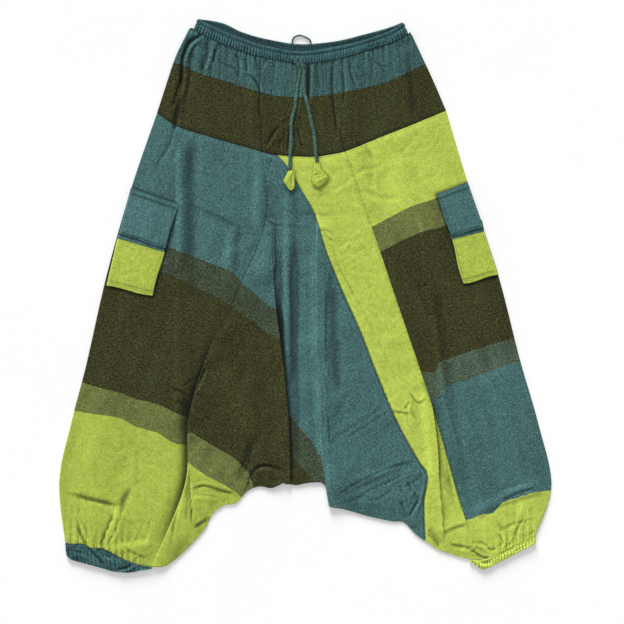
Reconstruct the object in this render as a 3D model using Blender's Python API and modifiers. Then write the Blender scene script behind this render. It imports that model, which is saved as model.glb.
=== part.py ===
"""Patchwork harem pants, laid flat on their back with the front up.

Frame: +Y runs to the waist, +X to the wearer's left leg, +Z up from the surface that
the cloth lies on. The origin lies on that surface, under the middle of the garment.
Right and left are the wearer's. All tables are in millimetres.

Each panel is one sheet: a grid of points on the middle of the cloth, which Solidify
gives its thickness. The grid's rows are sections across the leg, from the yoke seam
(section 0) to the ankle (section 6); its columns run between the seams.
"""
import math

import bmesh
import bpy
import numpy as np

# ---------------------------------------------------------------- driving sizes (mm)
MM = 0.001
CLOTH = 1.2             # wall of every single layer of cloth
SEAM_GAP = 0.3          # between two pieces that are sewn together
BAND_GAP = 0.5          # between a gathered edge and the casing above or below it
LAYER_GAP = 0.3         # between a piece and the panel that it is sewn on
FOLD_RADIUS = 0.95      # middle of the cloth, where a fold turns back on itself
LEAST_LEG = 0.8         # length of a fold's middle leg where the fold is still open
LOW_LAYER = 2.4         # middle of the lowest front layer where folds lie on it
SIDE_HEIGHT = 3.4       # of the two layers together where a leg's side folds
HEM_HEIGHT = 2.7        # of the two layers together along the inner leg seam
ANKLE_LIFT = 1.4        # what the leg's side gains in height towards its gathered cuff
WAIST_LIFT = 4.2        # and towards the gathered waist
WAIST_LIFT_FROM = 300.0
WAIST_LIFT_LENGTH = 120.0
WAIST_LIFT_SECTION = 2.6    # yoke section below which the lift starts
EDGE_SOFTNESS = 28.0    # how far in from an edge the cloth reaches its full height
SEAM_DIP = 0.8          # how far the yoke seam sinks between its two pieces
UPRIGHT_SEAM_DIP = 0.6  # the same for the yoke's two upright seams
SEAM_DIP_WIDTH = 5.0
UPRIGHT_SEAM_END = 250.0    # y where they meet the yoke seam
BAND_WALL = 2.6         # casing and the elastic in it
BAND_HEIGHT = 6.4       # front and back of the waistband together
BAND_RIBS = 48          # on the front, and as many on the back
CUFF_WALL = 2.0
CUFF_HEIGHT = 5.2
CUFF_RIBS = 14
RIB_DEPTH = 0.45
CORD_RADIUS = 2.1
CORD_CLEARANCE = 0.7    # over the gathered cloth that a cord lies on
CORD_RAMP = 8.0         # length over which a cord comes down from the waistband
LOOP_RADIUS = 1.5
TIP_HALF_HEIGHT = 2.4

# Soft gathers at the waistband and the cuffs. Each wave is (amount, width along x): it
# makes the gathers' reach uneven, and their pitch wander.
GATHER_PITCH = 15.5
GATHER_DEPTH = 1.1
GATHER_REACH = 42.0
GATHER_REACH_WAVES = [(16.0, 19.0), (8.0, 7.3)]
GATHER_DRIFT = (0.30, 31.0)
CUFF_GATHER_PITCH = 12.5
CUFF_GATHER_DEPTH = 0.9
CUFF_GATHER_REACH = 24.0
CUFF_REACH_WAVE = (9.0, 11.0)
CUFF_GATHER_DRIFT = (0.25, 17.0)
CUFF_GATHER_MARGIN = 12.0   # beside the cuff's ends, where the gathers fade

# ------------------------------------------------- sections of the leg panels (x, y)
# One row for each section, from the yoke seam down to the ankle or the inner leg seam.
RIGHT_SIDE = {
    "side_fold": [(-259, 320), (-305, 186), (-347, 37), (-383, -121),
                  (-408, -217), (-430, -322), (-420, -429)],
    "pressed_crease": [(-222, 296), (-222, 163), (-224, 28), (-224, -130),
                       (-229, -226), (-254, -331), (-301, -466)],
    "front_seam": [(-75, 252), (-67, 142), (-112, 23), (-175, -116),
                   (-203, -217), (-210, -331), (-268, -473)],
    "back_seam": [(-75, 252), (-86, 140), (-116, 20), (-155, -115),
                  (-183, -220), (-214, -330), (-268, -473)],
}
LEFT_SIDE = {
    "side_fold": [(247, 324), (285, 198), (338, 37), (375, -107),
                  (408, -222), (431, -331), (403, -419)],
    "pressed_crease": [(187, 299), (198, 159), (210, 11), (238, -116),
                       (257, -226), (315, -347), (354, -441)],
    "front_seam": [(70, 252), (116, 123), (159, -4), (201, -126),
                   (233, -226), (270, -357), (306, -460)],
    "back_seam": [(75, 252), (112, 123), (150, -4), (190, -126),
                  (224, -226), (262, -350), (306, -460)],
}
CENTRE = {
    "right_seam": RIGHT_SIDE["front_seam"],
    "right_inner": [(-66, 250), (-61, 138), (-96, 19), (-154, -121),
                    (-179, -226), (-184, -331), (-173, -404)],
    "right_thigh": [(-60, 249), (-58, 137), (-75, 19), (-103, -121),
                    (-119, -217), (-117, -296), (-109, -350)],
    "pleat_edge": [(-48, 247), (-48, 133), (-54, 19), (-39, -112),
                   (-30, -200), (-26, -278), (-26, -329)],
    "ridge_edge": [(12, 243), (18, 130), (19, 11), (19, -112),
                   (23, -191), (30, -287), (42, -368)],
    "left_thigh": [(28, 245), (44, 130), (63, 7), (82, -117),
                   (100, -214), (123, -313), (173, -396)],
    "left_inner": [(44, 247), (72, 130), (110, 0), (149, -124),
                   (177, -226), (203, -336), (219, -434)],
    "left_seam": LEFT_SIDE["front_seam"],
}
SECTIONS = 6.0          # number of the last section
TOP_FIT = 0.25          # share of a panel's rows that follow the shape of its top edge
HEM_FIT = 1 / 6         # and of its bottom edge

# Yoke: (x, y) columns from the top edge (section 0) to the yoke seam (section 3).
YOKE_RIGHT = {
    "side_fold": [(-203, 466), (-225, 422), (-241, 376), (-259, 320)],
    "shaded_fold": [(-191, 449), (-205, 402), (-215, 348), (-222, 296)],
    "seam": [(-79, 417), (-79, 366), (-78, 309), (-75, 252)],
}
YOKE_LEFT = {
    "side_fold": [(187, 457), (207, 414), (227, 371), (247, 324)],
    "shaded_fold": [(170, 450), (177, 402), (184, 350), (187, 299)],
    "seam": [(49, 412), (49, 361), (53, 310), (70, 252)],
}
YOKE_SECTIONS = 3.0
YOKE_ROW_SPACING = 1.25     # above 1, rows lie closer together near the waistband
YOKE_RIGHT_CORNER = [(-203, 466), (-200, 463), (-196, 450), (-192, 449)]
YOKE_LEFT_CORNER = [(187, 457)]
YOKE_BACK_SEAMS = {"right": [(-79, 424), (-75, 252)], "left": [(56, 422), (75, 252)]}

# ------------------------------------------------------- edges that pieces share (x, y)
BAND_FRONT_TOP = [(-186, 486), (-149, 466), (-114, 452), (-70, 438), (-9, 428), (53, 436),
                  (105, 448), (149, 464), (173, 480)]
BAND_FRONT_BOTTOM = [(-189, 452), (-156, 441), (-117, 429), (-74, 417), (-9, 406), (54, 413),
                     (110, 429), (154, 443), (180, 455)]
BAND_BACK_TOP = [(-186, 486), (-145, 478), (-110, 462), (-68, 450), (-9, 441), (53, 446),
                 (100, 457), (144, 469), (173, 480)]
BAND_BACK_BOTTOM = [(-189, 452), (-145, 447), (-110, 436), (-68, 425), (-9, 416), (53, 421),
                    (100, 432), (144, 445), (180, 455)]
YOKE_SEAM = [(-259, 320), (-222, 296), (-166, 278), (-114, 263), (-75, 252), (-49, 247), (9, 243),
             (44, 247), (74, 254), (131, 277), (187, 299), (247, 324)]
HEM_RIGHT = [(-268, -473), (-247, -473), (-226, -460), (-205, -441), (-184, -418), (-173, -404),
             (-163, -383), (-142, -366), (-121, -362), (-100, -341), (-79, -333), (-58, -336),
             (-37, -327), (-26, -329)]
HEM_STRIP = [(-26, -329), (-16, -331), (5, -327), (26, -326), (35, -329)]
HEM_STEP = [(36, -332), (40, -350)]
HEM_LEFT = [(42, -368), (68, -373), (110, -385), (152, -394), (173, -396), (194, -417),
            (215, -432), (236, -446), (257, -455), (278, -461), (306, -460)]
CUFF_RIGHT_TOP = [(-420, -429), (-380, -439), (-338, -450), (-303, -466), (-290, -470)]
CUFF_RIGHT_BOTTOM = [(-413, -459), (-368, -471), (-324, -484), (-304, -485), (-288, -482)]
CUFF_LEFT_TOP = [(306, -460), (341, -448), (373, -434), (403, -419)]
CUFF_LEFT_BOTTOM = [(311, -478), (341, -465), (371, -449), (405, -433)]

# ------------------------------------------------------------ height of the front cloth
# Height of the front's outer face above the surface, from the waist down.
LOFT = [(500, 7.4), (440, 7.2), (380, 6.2), (320, 5.4), (250, 4.6), (100, 4.8), (-100, 5.2),
        (-300, 5.4), (-400, 6.0), (-480, 5.2)]

# Largest folds and creases: start and end of the line, half width, rise (negative sinks).
FOLDS = [
    # x0, y0, x1, y1, half_width, rise
    (-199, 442, -222, 300, 8, -2.2),      # shaded fold down the right side of the yoke
    (-212, 436, -238, 340, 9, 1.4),       # roll of cloth beside it
    (178, 440, 190, 310, 8, -1.2),
    (-222, 290, -224, -225, 6, 0.8),      # pressed crease, right leg
    (198, 159, 243, -180, 6, 0.7),        # pressed crease, left leg
    (-67, 250, -67, 142, 6, -0.9),        # front seam, right leg, sinks
    (-67, 142, -172, -110, 7, -1.5),
    (70, 252, 159, -4, 5, -0.9),          # front seam, left leg
    (159, -4, 233, -226, 5, -0.9),
    (233, -226, 300, -440, 5, -0.9),
    (-150, -110, -100, -250, 22, 1.2),    # slack of the right thigh
    (-90, -245, -120, -330, 9, -1.2),
    (-190, 150, -110, 120, 10, -0.7),
    (-150, 60, -96, 100, 9, 0.7),
    (190, -290, 60, -350, 6, -1.2),       # drag lines from the left ankle to the crotch
    (150, -335, 55, -366, 5, -0.9),
    (140, -190, 44, -254, 6, -1.0),
    (165, -300, 90, -318, 7, 0.9),
    (219, -177, 238, -357, 7, -1.5),      # shaded fold inside the left inner strip
    (205, -160, 224, -330, 8, 1.2),
    (219, -432, 285, -396, 6, -1.6),      # slack of the left leg over its lowest stripe
    (285, -396, 341, -366, 6, -1.6),
    (341, -366, 425, -342, 6, -1.6),
    (290, -380, 420, -326, 14, 1.6),
    (-410, -346, -327, -366, 6, -1.3),    # slack above the right cuff
    (-322, -362, -345, -436, 7, 1.5),
    (-303, -330, -330, -380, 7, -1.2),
    (-400, -392, -388, -436, 6, -1.1),
    (-345, -442, -255, -430, 7, 1.2),
    (380, -360, 372, -395, 7, 1.2),       # slack above the left cuff
    (335, -395, 352, -415, 6, -1.1),
    (300, -160, 380, -100, 16, 0.8),
]

# Folds that lie back on themselves: section where the cloth starts to turn, section
# where it is folded flat, and how much of it the fold hides.
TUCKS = {
    "right_seam": {"opens": 2.2, "flat": 3.1, "hidden": 13.0},
    "pleat_edge": {"opens": 0.9, "flat": 2.0, "hidden": 7.0},
    "ridge_edge": {"opens": 0.6, "flat": 1.8, "hidden": 7.0},
}

# Casing profiles: share of the casing's height, offset from its middle in walls.
BAND_TOP_SHARE = 0.97
BAND_PROFILE = [(0.02, -0.25), (0.07, 0.45), (0.58, 0.60), (0.68, 0.22), (0.78, 0.55),
                (BAND_TOP_SHARE, 0.30), (BAND_TOP_SHARE, -0.40), (0.08, -0.50)]
CUFF_PROFILE = [(0.03, -0.35), (0.10, 0.40), (0.55, 0.60), (0.95, 0.40), (0.97, -0.40),
                (0.50, -0.50)]
LEAST_RIBBED_OFFSET = 0.3   # profile points nearer the casing's middle carry no ribs
BAND_FACE_UNDER_CORD = 0.1  # how far the cord's exit lies over the band's height, in walls

# Pockets: corners (x, y) in the order top outer, top inner, bottom inner, bottom outer.
POCKETS = {
    "right": {
        "flap": [(-304, 189), (-222, 161), (-243, 83), (-325, 109)],
        "welt": [(-322, 122), (-240, 96), (-246, 77), (-328, 101)],
        "bag": [(-328, 101), (-246, 77), (-266, 0), (-347, 18)],
    },
    "left": {
        "flap": [(284, 199), (229, 178), (256, 105), (312, 119)],
        "welt": [(309, 133), (252, 117), (256, 99), (313, 113)],
        "bag": [(313, 113), (256, 99), (277, 21), (338, 37)],
    },
}
POCKET_SIDE_INSET = SIDE_HEIGHT / 2 + 1.0   # from the side fold, where the cloth turns down
POCKET_STEPS = {"bag": (6, 5), "welt": (2, 5), "flap": (6, 5)}      # down, across
POCKET_SLOTS = {"bag": "lime_cotton", "welt": "teal_cotton", "flap": "teal_cotton"}

# Drawstring: route of each free end over the cloth (x, y), then its folded cloth tip.
CORD_ROUTES = {
    "right": [(-23, 418), (-17, 410), (-11, 402), (-9, 391), (-10, 381), (-12, 369), (-14, 355),
              (-16, 342), (-17, 330), (-20, 319), (-23, 307), (-24, 294), (-24, 281), (-24, 268),
              (-25, 255), (-26, 242), (-26, 229), (-26, 222)],
    "left": [(-14, 417), (-8, 410), (-4, 402), (-2, 390), (-2, 376), (-1, 363), (0, 352),
             (3, 340), (6, 328), (9, 315), (12, 301), (15, 288), (17, 275), (18, 263),
             (19, 251), (20, 242), (21, 235)],
}
TIPS = {
    "right": [(-26, 219), (-38, 203), (-33, 192), (-24, 184), (-19, 190), (-20, 206), (-21, 219)],
    "left": [(16, 232), (13, 214), (12, 203), (23, 193), (38, 205), (40, 210), (26, 232)],
}
# A tip's rings, from the cloth up: size of the outline, height in half heights.
TIP_RINGS = [(0.72, 0.0), (1.0, 0.55), (1.0, 1.2), (0.70, 2.0)]
LOOP_ROUTE = [(-22, 443), (-21, 449), (-18, 454), (-13, 457), (-7, 457), (-1, 456), (5, 453),
              (9, 449), (11, 443)]

# ------------------------------------------------------------------ grid resolution
LEG_ROWS = 14
YOKE_ROWS = 7
TURN_STEPS = 5
ARC_STEPS = 4
BACK_COLUMNS = 5
FRONT_COLUMNS = 22
YOKE_COLUMNS = 26
THIGH_COLUMNS = 11
STRIP_COLUMNS = 3
LEFT_COLUMNS = 14
SEAM_POINTS = 15        # along each side of the flat back panel
EDGE_POINTS = 9         # along the top and bottom of the back pieces
CURVE_STEPS = 24        # between two rows of an edge's table

# Colours, sRGB 0 to 255.
COLOURS = {
    "teal_cotton": (64, 101, 99),
    "lime_cotton": (170, 187, 78),
    "striped_cotton": (61, 64, 40),
    "cord_cotton": (66, 98, 88),
}
CLOTH_ROUGHNESS = 0.95


# --------------------------------------------------------------------------- curves
def spline(points, place):
    """Points of a Catmull-Rom curve through the table's rows, at row numbers place."""
    table = np.asarray(points, float)
    place = np.clip(np.asarray(place, float), 0, len(table) - 1)
    first = np.minimum(place.astype(int), len(table) - 2)
    t = (place - first)[..., None]
    before = table[np.maximum(first - 1, 0)]
    start = table[first]
    end = table[first + 1]
    after = table[np.minimum(first + 2, len(table) - 1)]
    cubic = (-before + 3 * start - 3 * end + after) * t ** 3
    square = (2 * before - 5 * start + 4 * end - after) * t ** 2
    return 0.5 * (2 * start + (end - before) * t + square + cubic)


def height_on(points, x):
    """The curve's y at each x, for a table whose x rises all along."""
    steps = CURVE_STEPS * (len(points) - 1)
    line = spline(points, np.linspace(0, len(points) - 1, steps + 1))
    return np.interp(x, line[:, 0], line[:, 1])


def smooth(value):
    """0 below 0, 1 above 1, and an even rise between."""
    value = np.clip(value, 0.0, 1.0)
    return value * value * (3 - 2 * value)


SIDE_OUTLINES = [YOKE_RIGHT["side_fold"][:-1] + RIGHT_SIDE["side_fold"],
                 YOKE_LEFT["side_fold"][:-1] + LEFT_SIDE["side_fold"]]


def distance_from_side(x, y):
    """How far each point lies inside the nearer side fold."""
    away = []
    for outline in SIDE_OUTLINES:
        turned = [(-py, px) for px, py in outline]
        away.append(np.abs(x - height_on(turned, -y)))
    return np.minimum(away[0], away[1])


def front_height(x, y):
    """Height of the front cloth's outer face: its loft, lower at the edges, and its folds."""
    x, y = np.asarray(x, float), np.asarray(y, float)
    levels = sorted(LOFT)
    loft = np.interp(y, [row[0] for row in levels], [row[1] for row in levels])
    side = SIDE_HEIGHT + WAIST_LIFT * smooth((y - WAIST_LIFT_FROM) / WAIST_LIFT_LENGTH)
    inside = 1 - np.exp(-(distance_from_side(x, y) / EDGE_SOFTNESS) ** 2)
    height = side + (np.maximum(loft, side) - side) * inside
    height = height + gathers(x, y)
    for x0, y0, x1, y1, half_width, rise in FOLDS:
        along = ((x - x0) * (x1 - x0) + (y - y0) * (y1 - y0)) / ((x1 - x0) ** 2 + (y1 - y0) ** 2)
        along = np.clip(along, 0, 1)
        away = np.hypot(x - x0 - along * (x1 - x0), y - y0 - along * (y1 - y0))
        height = height + rise * inside * np.exp(-(away / half_width) ** 2)
    seam_dip = SEAM_DIP * np.exp(-((y - height_on(YOKE_SEAM, x)) / SEAM_DIP_WIDTH) ** 2)
    seam_dip = seam_dip + UPRIGHT_SEAM_DIP * near_upright_seam(x, y)
    hem = height_on(HEM_RIGHT + HEM_STRIP[1:] + HEM_LEFT, x)
    over_hem = (x > HEM_RIGHT[0][0]) & (x < HEM_LEFT[-1][0])
    down = np.where(over_hem, np.exp(-(np.maximum(y - hem, 0) / EDGE_SOFTNESS) ** 2), 0.0)
    height = height - seam_dip * inside
    height = height + (HEM_HEIGHT - height) * down
    return np.maximum(height, HEM_HEIGHT)


def near_upright_seam(x, y):
    """1 on the yoke's two upright seams, falling to 0 beside them."""
    near = 0.0
    for table in (YOKE_RIGHT, YOKE_LEFT):
        turned = [(-py, px) for px, py in table["seam"]]
        near = near + np.exp(-((x - height_on(turned, -y)) / SEAM_DIP_WIDTH) ** 2)
    return near * (y > UPRIGHT_SEAM_END)


def ripples(x, pitch, drift):
    """A wave along x, from -1 to 1, whose pitch wanders."""
    amount, width = drift
    return np.cos(2 * math.pi * (x / pitch + amount * np.sin(x / width)))


def gathers(x, y):
    """Uneven gathers that hang from the waistband and rise from the cuffs."""
    below_band = np.maximum(height_on(BAND_FRONT_BOTTOM, x) - y, 0)
    reach = GATHER_REACH + sum(amount * np.sin(x / width) for amount, width in GATHER_REACH_WAVES)
    total = GATHER_DEPTH * ripples(x, GATHER_PITCH, GATHER_DRIFT) * np.exp(-below_band / reach)
    total = total * (1 - near_upright_seam(x, y))
    for edge in (CUFF_RIGHT_TOP, CUFF_LEFT_TOP):
        first, last = edge[0][0], edge[-1][0]
        above = np.maximum(y - height_on(edge, x), 0)
        over_cuff = smooth((x - first) / CUFF_GATHER_MARGIN + 1) * smooth((last - x) / CUFF_GATHER_MARGIN + 1)
        reach = CUFF_GATHER_REACH + CUFF_REACH_WAVE[0] * np.sin(x / CUFF_REACH_WAVE[1])
        wave = ripples(x, CUFF_GATHER_PITCH, CUFF_GATHER_DRIFT)
        total = total + CUFF_GATHER_DEPTH * wave * over_cuff * np.exp(-above / reach)
    return total


# ------------------------------------------------------------------------ fold sections
def fold_state(name, section):
    """Turning angle and hidden length of a fold at each section."""
    fold = TUCKS[name]
    turn = smooth((section - fold["opens"]) / (fold["flat"] - fold["opens"]))
    closing = smooth((section - fold["opens"]) / (fold["flat"] - fold["opens"]) * 2 - 1)
    return math.pi * turn, LEAST_LEG + (fold["hidden"] - LEAST_LEG) * closing


def fold_path(angle, hidden, sign, whole=True):
    """Steps (dx, dz) of a fold seen along the leg: an arc, the hidden leg, an arc back.

    sign is -1 for a fold that turns down and back, and +1 for one that turns up and back.
    Without the first arc the path starts at a seam, already turned.
    """
    step = np.full_like(angle, FOLD_RADIUS * math.pi / ARC_STEPS)
    arc = [(angle * (k + 0.5) / ARC_STEPS, step) for k in range(ARC_STEPS)]
    parts = (arc if whole else []) + [(angle, hidden)] + arc[::-1]
    start = [np.zeros_like(angle)]
    dx = np.cumsum(start + [length * np.cos(turn) for turn, length in parts], axis=0)
    dz = np.cumsum(start + [sign * length * np.sin(turn) for turn, length in parts], axis=0)
    return dx.T, dz.T


def folded_share(angle):
    """0 where the cloth is flat, 1 where it is folded back."""
    return (1 - np.cos(angle)) / 2


def hidden_seam(section):
    """The right leg's front seam, which lies under the fold's edge.

    Its place (x, y) for each section, the height of the side panel's edge and of the centre
    panel's edge over it, and the steps of the fold that starts there.
    """
    guide = spline(CENTRE["right_seam"], section)
    angle, hidden = fold_state("right_seam", section)
    dx, dz = fold_path(angle, hidden, 1, whole=False)
    flat = front_height(guide[:, 0], guide[:, 1]) - CLOTH / 2
    share = folded_share(angle)
    under = flat * (1 - share) + LOW_LAYER * share
    over = under + (CLOTH + LAYER_GAP) * smooth(3 * angle / math.pi)
    place = np.column_stack([guide[:, 0] - dx.min(axis=1), guide[:, 1]])
    return place, under, over, dx, dz


# ------------------------------------------------------------------------------ sheets
def trimmed(grid, left=0.0, right=0.0, top=0.0, bottom=0.0):
    """The grid with its edge points drawn in, so that sewn pieces stay apart."""
    grid = grid.copy()
    for amount, edge, inner in ((left, np.s_[:, 0], np.s_[:, 1]), (right, np.s_[:, -1], np.s_[:, -2]),
                                (top, np.s_[0], np.s_[1]), (bottom, np.s_[-1], np.s_[-2])):
        if amount:
            pull = grid[inner] - grid[edge]
            span = np.linalg.norm(pull, axis=-1, keepdims=True)
            grid[edge] = grid[edge] + pull / span * amount
    return grid


def add_object(name, mesh, slot, collection):
    """Link a mesh or curve as one sub-part with its slot's material."""
    mesh.materials.append(materials()[slot])
    item = bpy.data.objects.new(name, mesh)
    collection.objects.link(item)
    return item


def linear_light(value):
    """An sRGB value from 0 to 255 as linear light."""
    value = value / 255
    return value / 12.92 if value <= 0.04045 else ((value + 0.055) / 1.055) ** 2.4


def materials():
    """The cloths' materials, made once."""
    for slot, colour in COLOURS.items():
        if slot in bpy.data.materials:
            continue
        material = bpy.data.materials.new(slot)
        material.use_nodes = True
        shader = material.node_tree.nodes["Principled BSDF"]
        shader.inputs["Base Color"].default_value = (*map(linear_light, colour), 1.0)
        shader.inputs["Roughness"].default_value = CLOTH_ROUGHNESS
        shader.inputs["Metallic"].default_value = 0.0
    return bpy.data.materials


def add_sheet(name, grid, slot, collection):
    """One piece of cloth: the grid's open surface, made a wall by Solidify."""
    rows, columns, _ = grid.shape
    corner = np.arange(rows * columns).reshape(rows, columns)
    faces = np.stack([corner[1:, :-1], corner[1:, 1:], corner[:-1, 1:], corner[:-1, :-1]], axis=-1)
    mesh = bpy.data.meshes.new(name)
    mesh.from_pydata((grid.reshape(-1, 3) * MM).tolist(), [], faces.reshape(-1, 4).tolist())
    mesh.shade_smooth()
    item = add_object(name, mesh, slot, collection)
    shell = item.modifiers.new("wall", "SOLIDIFY")
    shell.thickness = CLOTH * MM
    shell.offset = 0.0


def between_columns(columns, count):
    """Grid, count steps wide, whose rows pass through the given columns of points."""
    table = np.stack([column.ravel() for column in columns])
    grid = spline(table, np.linspace(0, len(columns) - 1, count + 1))
    return np.moveaxis(grid.reshape(count + 1, -1, 2), 0, 1)


def wrapped_side(fold, crease, seam, back, height, front_columns, sign, front_edges, back_edges):
    """A panel that wraps the side: flat on the surface, round the fold, and back on top.

    fold, crease, seam and back are (x, y) columns, one point for each row. The two edges
    give the y of the first and last row on the front and on the back.
    """
    radius = (height - CLOTH) / 2
    turn_x = fold[:, 0] - sign * (radius + CLOTH / 2)
    turn = np.column_stack([turn_x, fold[:, 1]])
    share = 1 - (1 - np.linspace(0, 1, BACK_COLUMNS + 1)[:-1]) ** 2
    under = back[:, None, :] * (1 - share)[None, :, None] + turn[:, None, :] * share[None, :, None]
    under = fit_edges(under, *back_edges)
    under = np.dstack([under, np.full(under.shape[:2], CLOTH / 2)])
    angles = np.linspace(-math.pi / 2, math.pi / 2, TURN_STEPS + 1)
    around = np.stack([
        turn_x[:, None] + sign * radius[:, None] * np.cos(angles),
        np.repeat(fold[:, 1:2], len(angles), axis=1),
        CLOTH / 2 + radius[:, None] * (1 + np.sin(angles)),
    ], axis=-1)
    over = between_columns([turn, crease, seam], front_columns)[:, 1:]
    over = fit_edges(over, *front_edges)
    top = front_height(over[..., 0], over[..., 1]) - CLOTH / 2
    near = np.abs(over[..., 0] - turn_x[:, None]) / EDGE_SOFTNESS
    start = (front_height(turn[:, 0], turn[:, 1]) - CLOTH / 2)[:, None]
    top = top + (CLOTH / 2 + 2 * radius[:, None] - start) * np.exp(-near ** 2)
    over = np.dstack([over, top])
    return np.concatenate([under, around, over], axis=1)


def fit_edges(grid, first, last):
    """Move the rows near the top and bottom so that the end rows lie on the edge curves."""
    place = np.linspace(0, 1, len(grid))[:, None]
    grid = grid.copy()
    if first is not None:
        shift = height_on(first, grid[0, :, 0]) - grid[0, :, 1]
        grid[..., 1] += shift * smooth(1 - place / TOP_FIT)
    if last is not None:
        shift = height_on(last, grid[-1, :, 0]) - grid[-1, :, 1]
        grid[..., 1] += shift * smooth((place - 1) / HEM_FIT + 1)
    return grid


# ----------------------------------------------------------------------- the leg panels
def leg_sections():
    """Section numbers of the grid's rows."""
    return np.linspace(0, SECTIONS, LEG_ROWS + 1)


def make_side_panels(collection):
    """Both leg side panels, the right one with its seam under the centre panel's fold."""
    section = leg_sections()
    height = SIDE_HEIGHT + ANKLE_LIFT * smooth(section - SECTIONS + 1)
    half = SEAM_GAP / 2
    for side, sign, table, ankle in (
            ("right", -1, RIGHT_SIDE, CUFF_RIGHT_TOP + [RIGHT_SIDE["front_seam"][-1]]),
            ("left", 1, LEFT_SIDE, CUFF_LEFT_TOP)):
        column = {name: spline(points, section) for name, points in table.items()}
        seam = column["front_seam"]
        if side == "right":
            edge_x = seam[:, :1]
            seam, under, _, _, _ = hidden_seam(section)
        grid = wrapped_side(column["side_fold"], column["pressed_crease"], seam,
                            column["back_seam"], height, FRONT_COLUMNS, sign,
                            (YOKE_SEAM, ankle), (YOKE_SEAM, ankle))
        if side == "right":
            front = grid[:, -FRONT_COLUMNS:]
            share = folded_share(fold_state("right_seam", section)[0])[:, None]
            near = smooth(1 - (edge_x - front[..., 0]) / EDGE_SOFTNESS) * share
            front[..., 2] = front[..., 2] * (1 - near) + LOW_LAYER * near
            grid[:, -1, 2] = under
        grid = trimmed(grid, left=half, right=half, top=half, bottom=BAND_GAP)
        add_sheet(f"side_panel_{side}", grid, "striped_cotton", collection)


def make_centre_front(collection):
    """Front centre panel: right thigh, a pleat, a sunk strip, a second pleat, left thigh."""
    section = leg_sections()
    guide = {name: spline(points, section) for name, points in CENTRE.items()}
    seam, _, seam_z, tuck_x, tuck_z = hidden_seam(section)
    tuck = laid_fold(seam[:, 0], seam[:, 1], seam_z, tuck_x, tuck_z)

    down_x, down_z, low = pleat_steps("pleat_edge", guide["pleat_edge"], section, -1)
    pleat = laid_fold(guide["pleat_edge"][:, 0] - down_x.max(axis=1), guide["pleat_edge"][:, 1],
                      low - down_z[:, -1], down_x, down_z)
    up_x, up_z, low = pleat_steps("ridge_edge", guide["ridge_edge"], section, 1)
    ridge = laid_fold(guide["ridge_edge"][:, 0] - up_x.min(axis=1), guide["ridge_edge"][:, 1],
                      low, up_x, up_z)

    thigh = panel_between(tuck[:, -1], [guide["right_inner"], guide["right_thigh"]], pleat[:, 0],
                          THIGH_COLUMNS, HEM_RIGHT)
    share = np.linspace(0, 1, STRIP_COLUMNS + 1)[None, 1:-1, None]
    strip = pleat[:, -1:] * (1 - share) + ridge[:, :1] * share
    bottom = smooth(section - SECTIONS + 1)[:, None]
    strip[..., 1] += (height_on(HEM_STRIP, strip[-1, :, 0]) - strip[-1, :, 1]) * bottom
    step_down = HEM_STRIP[-1][1] - ridge[-1, 0, 1]
    ridge[..., 1] += step_down * bottom * np.linspace(1, 0, ridge.shape[1]) ** 2
    left = panel_between(ridge[:, -1], [guide["left_thigh"], guide["left_inner"]],
                         with_height(guide["left_seam"]), LEFT_COLUMNS, HEM_LEFT, last=True)
    grid = np.concatenate([tuck, thigh, pleat, strip, ridge, left], axis=1)
    grid = fit_edges(grid, YOKE_SEAM, None)
    half = SEAM_GAP / 2
    grid = trimmed(grid, left=half, right=half, top=half, bottom=0.0)
    add_sheet("centre_panel_front", grid, "striped_cotton", collection)


def pleat_steps(name, edge, section, sign):
    """Steps of a pleat, and the height of the cloth beside it, for each section."""
    angle, hidden = fold_state(name, section)
    dx, dz = fold_path(angle, hidden, sign)
    share = folded_share(angle)
    flat = front_height(edge[:, 0], edge[:, 1]) - CLOTH / 2
    return dx, dz, flat * (1 - share) + LOW_LAYER * share


def laid_fold(x, y, z, dx, dz):
    """Grid part of a fold: its steps laid from one start point for each section."""
    across = np.repeat(y[:, None], dx.shape[1], axis=1)
    return np.stack([x[:, None] + dx, across, z[:, None] + dz], axis=-1)


def with_height(points):
    """(x, y) points set on the middle of the front cloth."""
    return np.column_stack([points, front_height(points[:, 0], points[:, 1]) - CLOTH / 2])


def panel_between(start, guides, end, count, hem, last=False):
    """Cloth between two fold edges: through the guides, and lifted to meet both ends."""
    across = between_columns([start[:, :2]] + guides + [end[:, :2]], count)
    across = fit_edges(across, None, hem)
    x, y = across[..., 0], across[..., 1]
    middle = front_height(x, y) - CLOTH / 2
    lift_start = start[:, 2] - middle[:, 0]
    lift_end = end[:, 2] - middle[:, -1]
    from_start = np.hypot(x - x[:, :1], y - y[:, :1]) / EDGE_SOFTNESS
    from_end = np.hypot(x - x[:, -1:], y - y[:, -1:]) / EDGE_SOFTNESS
    middle = middle + lift_start[:, None] * np.exp(-from_start ** 2) * (1 - np.exp(-from_end ** 2))
    middle = middle + lift_end[:, None] * np.exp(-from_end ** 2)
    grid = np.dstack([across, middle])
    return grid[:, 1:] if last else grid[:, 1:-1]


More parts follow.
